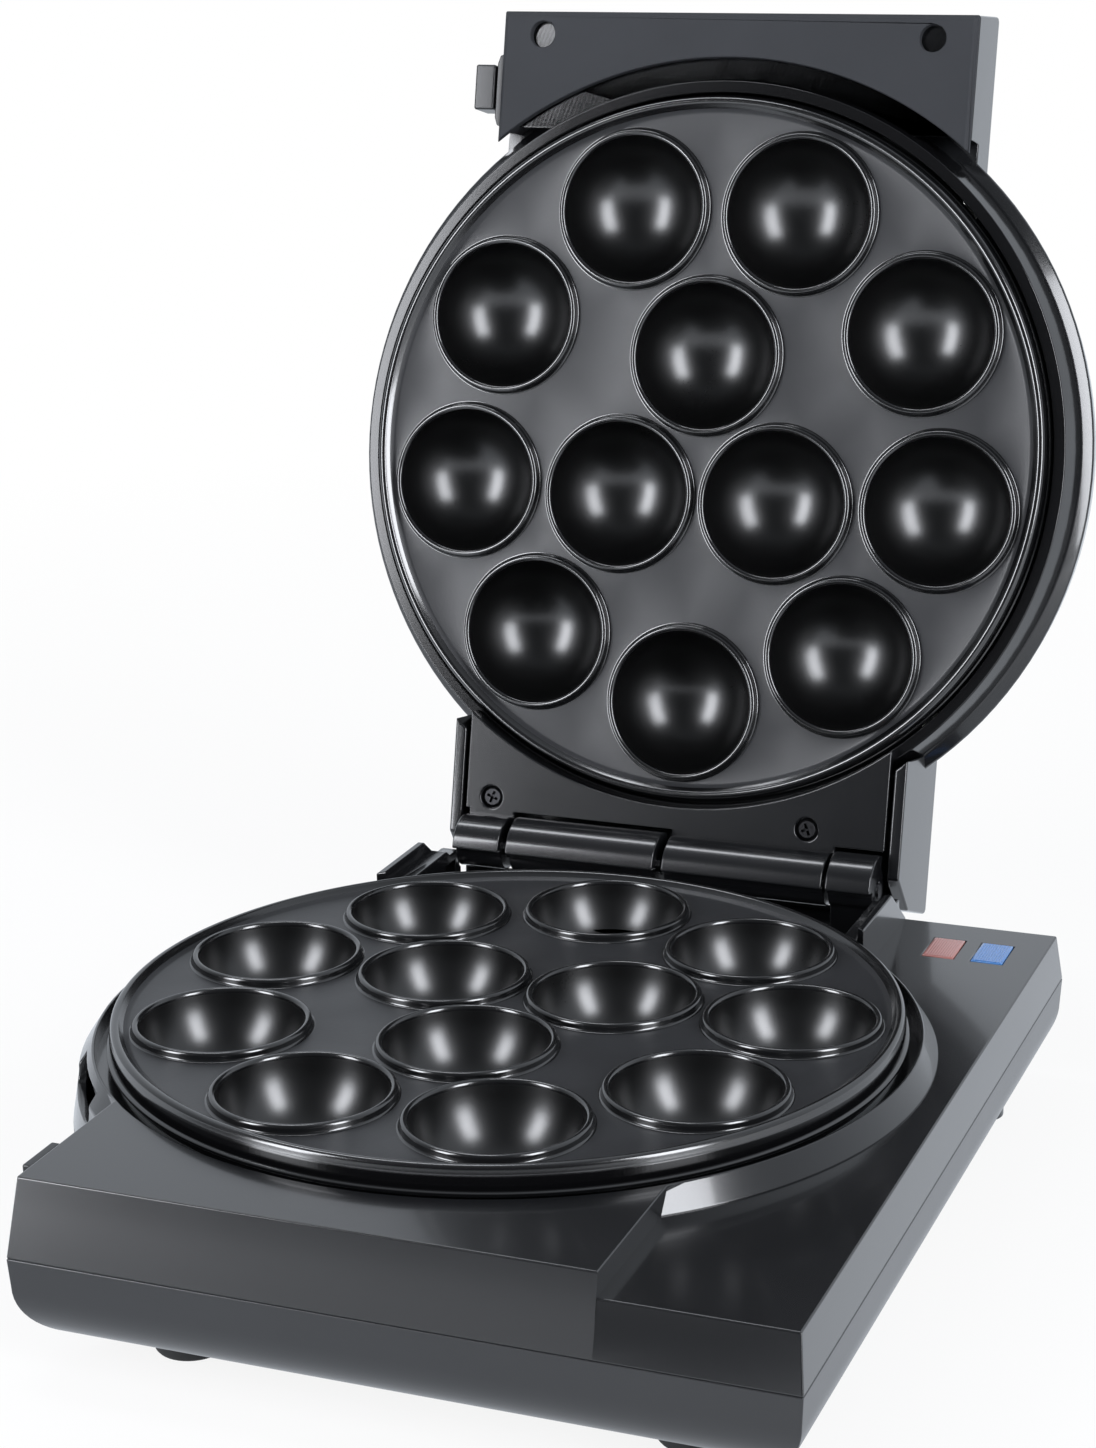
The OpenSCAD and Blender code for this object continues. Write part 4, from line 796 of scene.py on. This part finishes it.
spring_tree = coil_spring()
spring_look = metal_look("spring_wire", (0.36, 0.36, 0.38), 0.25)
base_spring_place = (
    table_place @ Matrix.Translation(Vector((-63.7, -93.7, 40.6)) * mm)
    @ Matrix.Rotation(math.radians(-90), 4, "X")
)
base_spring = grown(
    "base_slider_spring", bpy.data.meshes.new("base_slider_spring"), spring_tree,
    {"Length": 0.0084, "Turns": 5.0}, spring_look, base_spring_place,
)
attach(base_spring, "base")
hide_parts("base_latch_spring")
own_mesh(base_spring)
lid_spring_place = (
    lid_place @ Matrix.Translation(Vector((-63.9, -105.6, 13)) * mm)
    @ Matrix.Rotation(math.radians(90), 4, "X")
)
lid_spring = grown(
    "lid_slider_spring", bpy.data.meshes.new("lid_slider_spring"), spring_tree,
    {"Length": 0.009, "Turns": 5.5}, spring_look, lid_spring_place,
)
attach(lid_spring, "lid")
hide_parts("lid_latch_spring")
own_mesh(lid_spring)


# Lamp windows: two clear-tinted mouldings, red and blue, that pass up through the deck
# from below. Each stands on a flange and has fine ribs along its face.
def ribbed_face():
    """Geometry Nodes: joins a row of fine ribs to the block that comes in."""
    tree = bpy.data.node_groups.new("ribbed_face", "GeometryNodeTree")
    tree.interface.new_socket("Block", in_out="INPUT", socket_type="NodeSocketGeometry")
    tree_inputs(tree, (
        ("Ribs", 11), ("Pitch", 0.00068), ("Rib Length", 0.0128), ("Rib Height", 0.00014),
        ("Face X", 0.0), ("Face Y", 0.0), ("Face Z", 0.0),
    ))
    given = wire(tree, "NodeGroupInput").outputs
    width = wire(tree, "ShaderNodeMath", {0: given["Pitch"], 1: 0.46}, operation="MULTIPLY")
    bar = wire(tree, "GeometryNodeMeshCylinder", {
        "Vertices": 16, "Radius": width.outputs[0], "Depth": given["Rib Length"],
    })
    flat = wire(tree, "ShaderNodeMath", {
        0: given["Rib Height"], 1: width.outputs[0],
    }, operation="DIVIDE")
    squeeze = wire(tree, "ShaderNodeCombineXYZ", {"X": 1.0, "Y": flat.outputs[0], "Z": 1.0})
    thin = wire(tree, "GeometryNodeTransform", {
        "Geometry": bar.outputs[0], "Scale": squeeze.outputs[0],
    })
    rib = wire(tree, "GeometryNodeTransform", {
        "Geometry": thin.outputs[0], "Rotation": (math.pi / 2, 0, 0),
    })
    reach = wire(tree, "ShaderNodeMath", {0: given["Ribs"], 1: -1.0}, operation="ADD")
    half = wire(tree, "ShaderNodeMath", {
        0: reach.outputs[0], 1: given["Pitch"],
    }, operation="MULTIPLY")
    first = wire(tree, "ShaderNodeMath", {
        0: half.outputs[0], 1: -0.5, 2: given["Face X"],
    }, operation="MULTIPLY_ADD")
    start = wire(tree, "ShaderNodeCombineXYZ", {
        "X": first.outputs[0], "Y": given["Face Y"], "Z": given["Face Z"],
    })
    step = wire(tree, "ShaderNodeCombineXYZ", {"X": given["Pitch"]})
    row = wire(tree, "GeometryNodeMeshLine", {
        "Count": given["Ribs"], "Start Location": start.outputs[0], "Offset": step.outputs[0],
    })
    ribs = wire(tree, "GeometryNodeInstanceOnPoints", {
        "Points": row.outputs[0], "Instance": rib.outputs[0],
    })
    joined = wire(tree, "GeometryNodeJoinGeometry", {"Geometry": [given["Block"], ribs.outputs[0]]})
    real = wire(tree, "GeometryNodeRealizeInstances", {"Geometry": joined.outputs[0]})
    smooth = wire(tree, "GeometryNodeSetShadeSmooth", {"Geometry": real.outputs[0]})
    finished = wire(tree, "GeometryNodeSetMaterial", {
        "Geometry": smooth.outputs[0], "Material": given["Material"],
    })
    wire(tree, "NodeGroupOutput", {"Geometry": finished.outputs[0]})
    return tree


window_face_drop = 0.12 * mm


def window_block(name, low, high):
    """The block and its flange, between the corners of the CAD solid's box, edges eased."""
    solid = bmesh.new()
    lip, flange, block_lift = 0.9 * mm, 1.0 * mm, 0.2 * mm
    for x0, x1, y0, y1, z0, z1 in (
        (low.x, high.x, low.y, high.y, low.z, low.z + flange),
        (low.x + lip, high.x - lip, low.y + lip, high.y - lip,
         low.z + block_lift, high.z - window_face_drop),
    ):
        made = bmesh.ops.create_cube(solid, size=1)
        for vert in made["verts"]:
            vert.co = Vector((
                (x0 + x1) / 2 + vert.co.x * (x1 - x0),
                (y0 + y1) / 2 + vert.co.y * (y1 - y0),
                (z0 + z1) / 2 + vert.co.z * (z1 - z0),
            ))
    bmesh.ops.bevel(
        solid, geom=solid.edges[:], offset=0.3 * mm, segments=3, profile=0.5, affect="EDGES"
    )
    mesh = bpy.data.meshes.new(name)
    solid.to_mesh(mesh)
    solid.free()
    return mesh


ribbed_tree = ribbed_face()
for node, name, color, slot, height in (
    ("lamp_lens_red", "red_window", (0.5, 0.2, 0.175), "red_window", 0.00006),
    ("lamp_lens_blue", "blue_window", (0.075, 0.25, 0.62), "blue_window", 0.00012),
):
    window_look = finish_look(
        name + "_plastic", color, 0.22, 1500.0, 0.3, 0.1, 0.00001, coat=0.6, transmission=0.25
    )
    low, high = (Vector(corner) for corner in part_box(node))
    window = grown(name, window_block(name, low, high), ribbed_tree, {
        "Rib Height": height, "Face X": (low.x + high.x) / 2, "Face Y": (low.y + high.y) / 2,
        "Face Z": high.z - window_face_drop,
    }, window_look, Matrix.Identity(4))
    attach(window, "base")
    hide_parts(node)


# Carried over from the CAD model as they are: rubber feet, cord bushing, hinge pin and
# everything under the plates. Each has the finish of its own material.
def dress(look, *names):
    """Gives carried-over CAD nodes their material."""
    for name in names:
        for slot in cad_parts[name].material_slots:
            slot.material = look


dress(finish_look("foot_rubber", (0.012, 0.012, 0.012), 0.68, 1400.0, 1.2, 0.16, 0.00004), "feet")
dress(finish_look("bushing_nylon", (0.01, 0.01, 0.0105), 0.42, 1700.0, 0.7, 0.1), "cord_gland")
dress(metal_look("pin_steel", (0.22, 0.22, 0.23), 0.22), "hinge_pin")
dress(
    metal_look("aluminised_sheet", (0.7, 0.71, 0.72), 0.34, 420.0),
    "base_reflector", "lid_reflector",
)
dress(
    finish_look("heated_sheath", (0.13, 0.115, 0.1), 0.5, 700.0, 0.8, 0.25, 0.00003, metallic=1.0),
    "base_element", "lid_element",
)
dress(zinc_look, "base_element_clips", "lid_element_clips", "base_thermostat")
dress(
    finish_look("steatite", (0.62, 0.6, 0.55), 0.48, 1100.0, 0.9, 0.12, 0.00002),
    "base_thermal_fuse", "lid_thermal_fuse", "terminal_block",
)
dress(finish_look("natural_nylon", (0.6, 0.59, 0.54), 0.4, 1500.0, 0.5, 0.1), "lamp_holder")
dress(finish_look("lead_sleeve", (0.3, 0.29, 0.27), 0.55, 1300.0, 1.0, 0.12, 0.00003), "base_wiring")
dress(
    finish_look("lamp_glass", (0.9, 0.86, 0.8), 0.08, 1200.0, 0.1, 0.05, 0.000005, transmission=0.9),
    "lamp_bulbs",
)
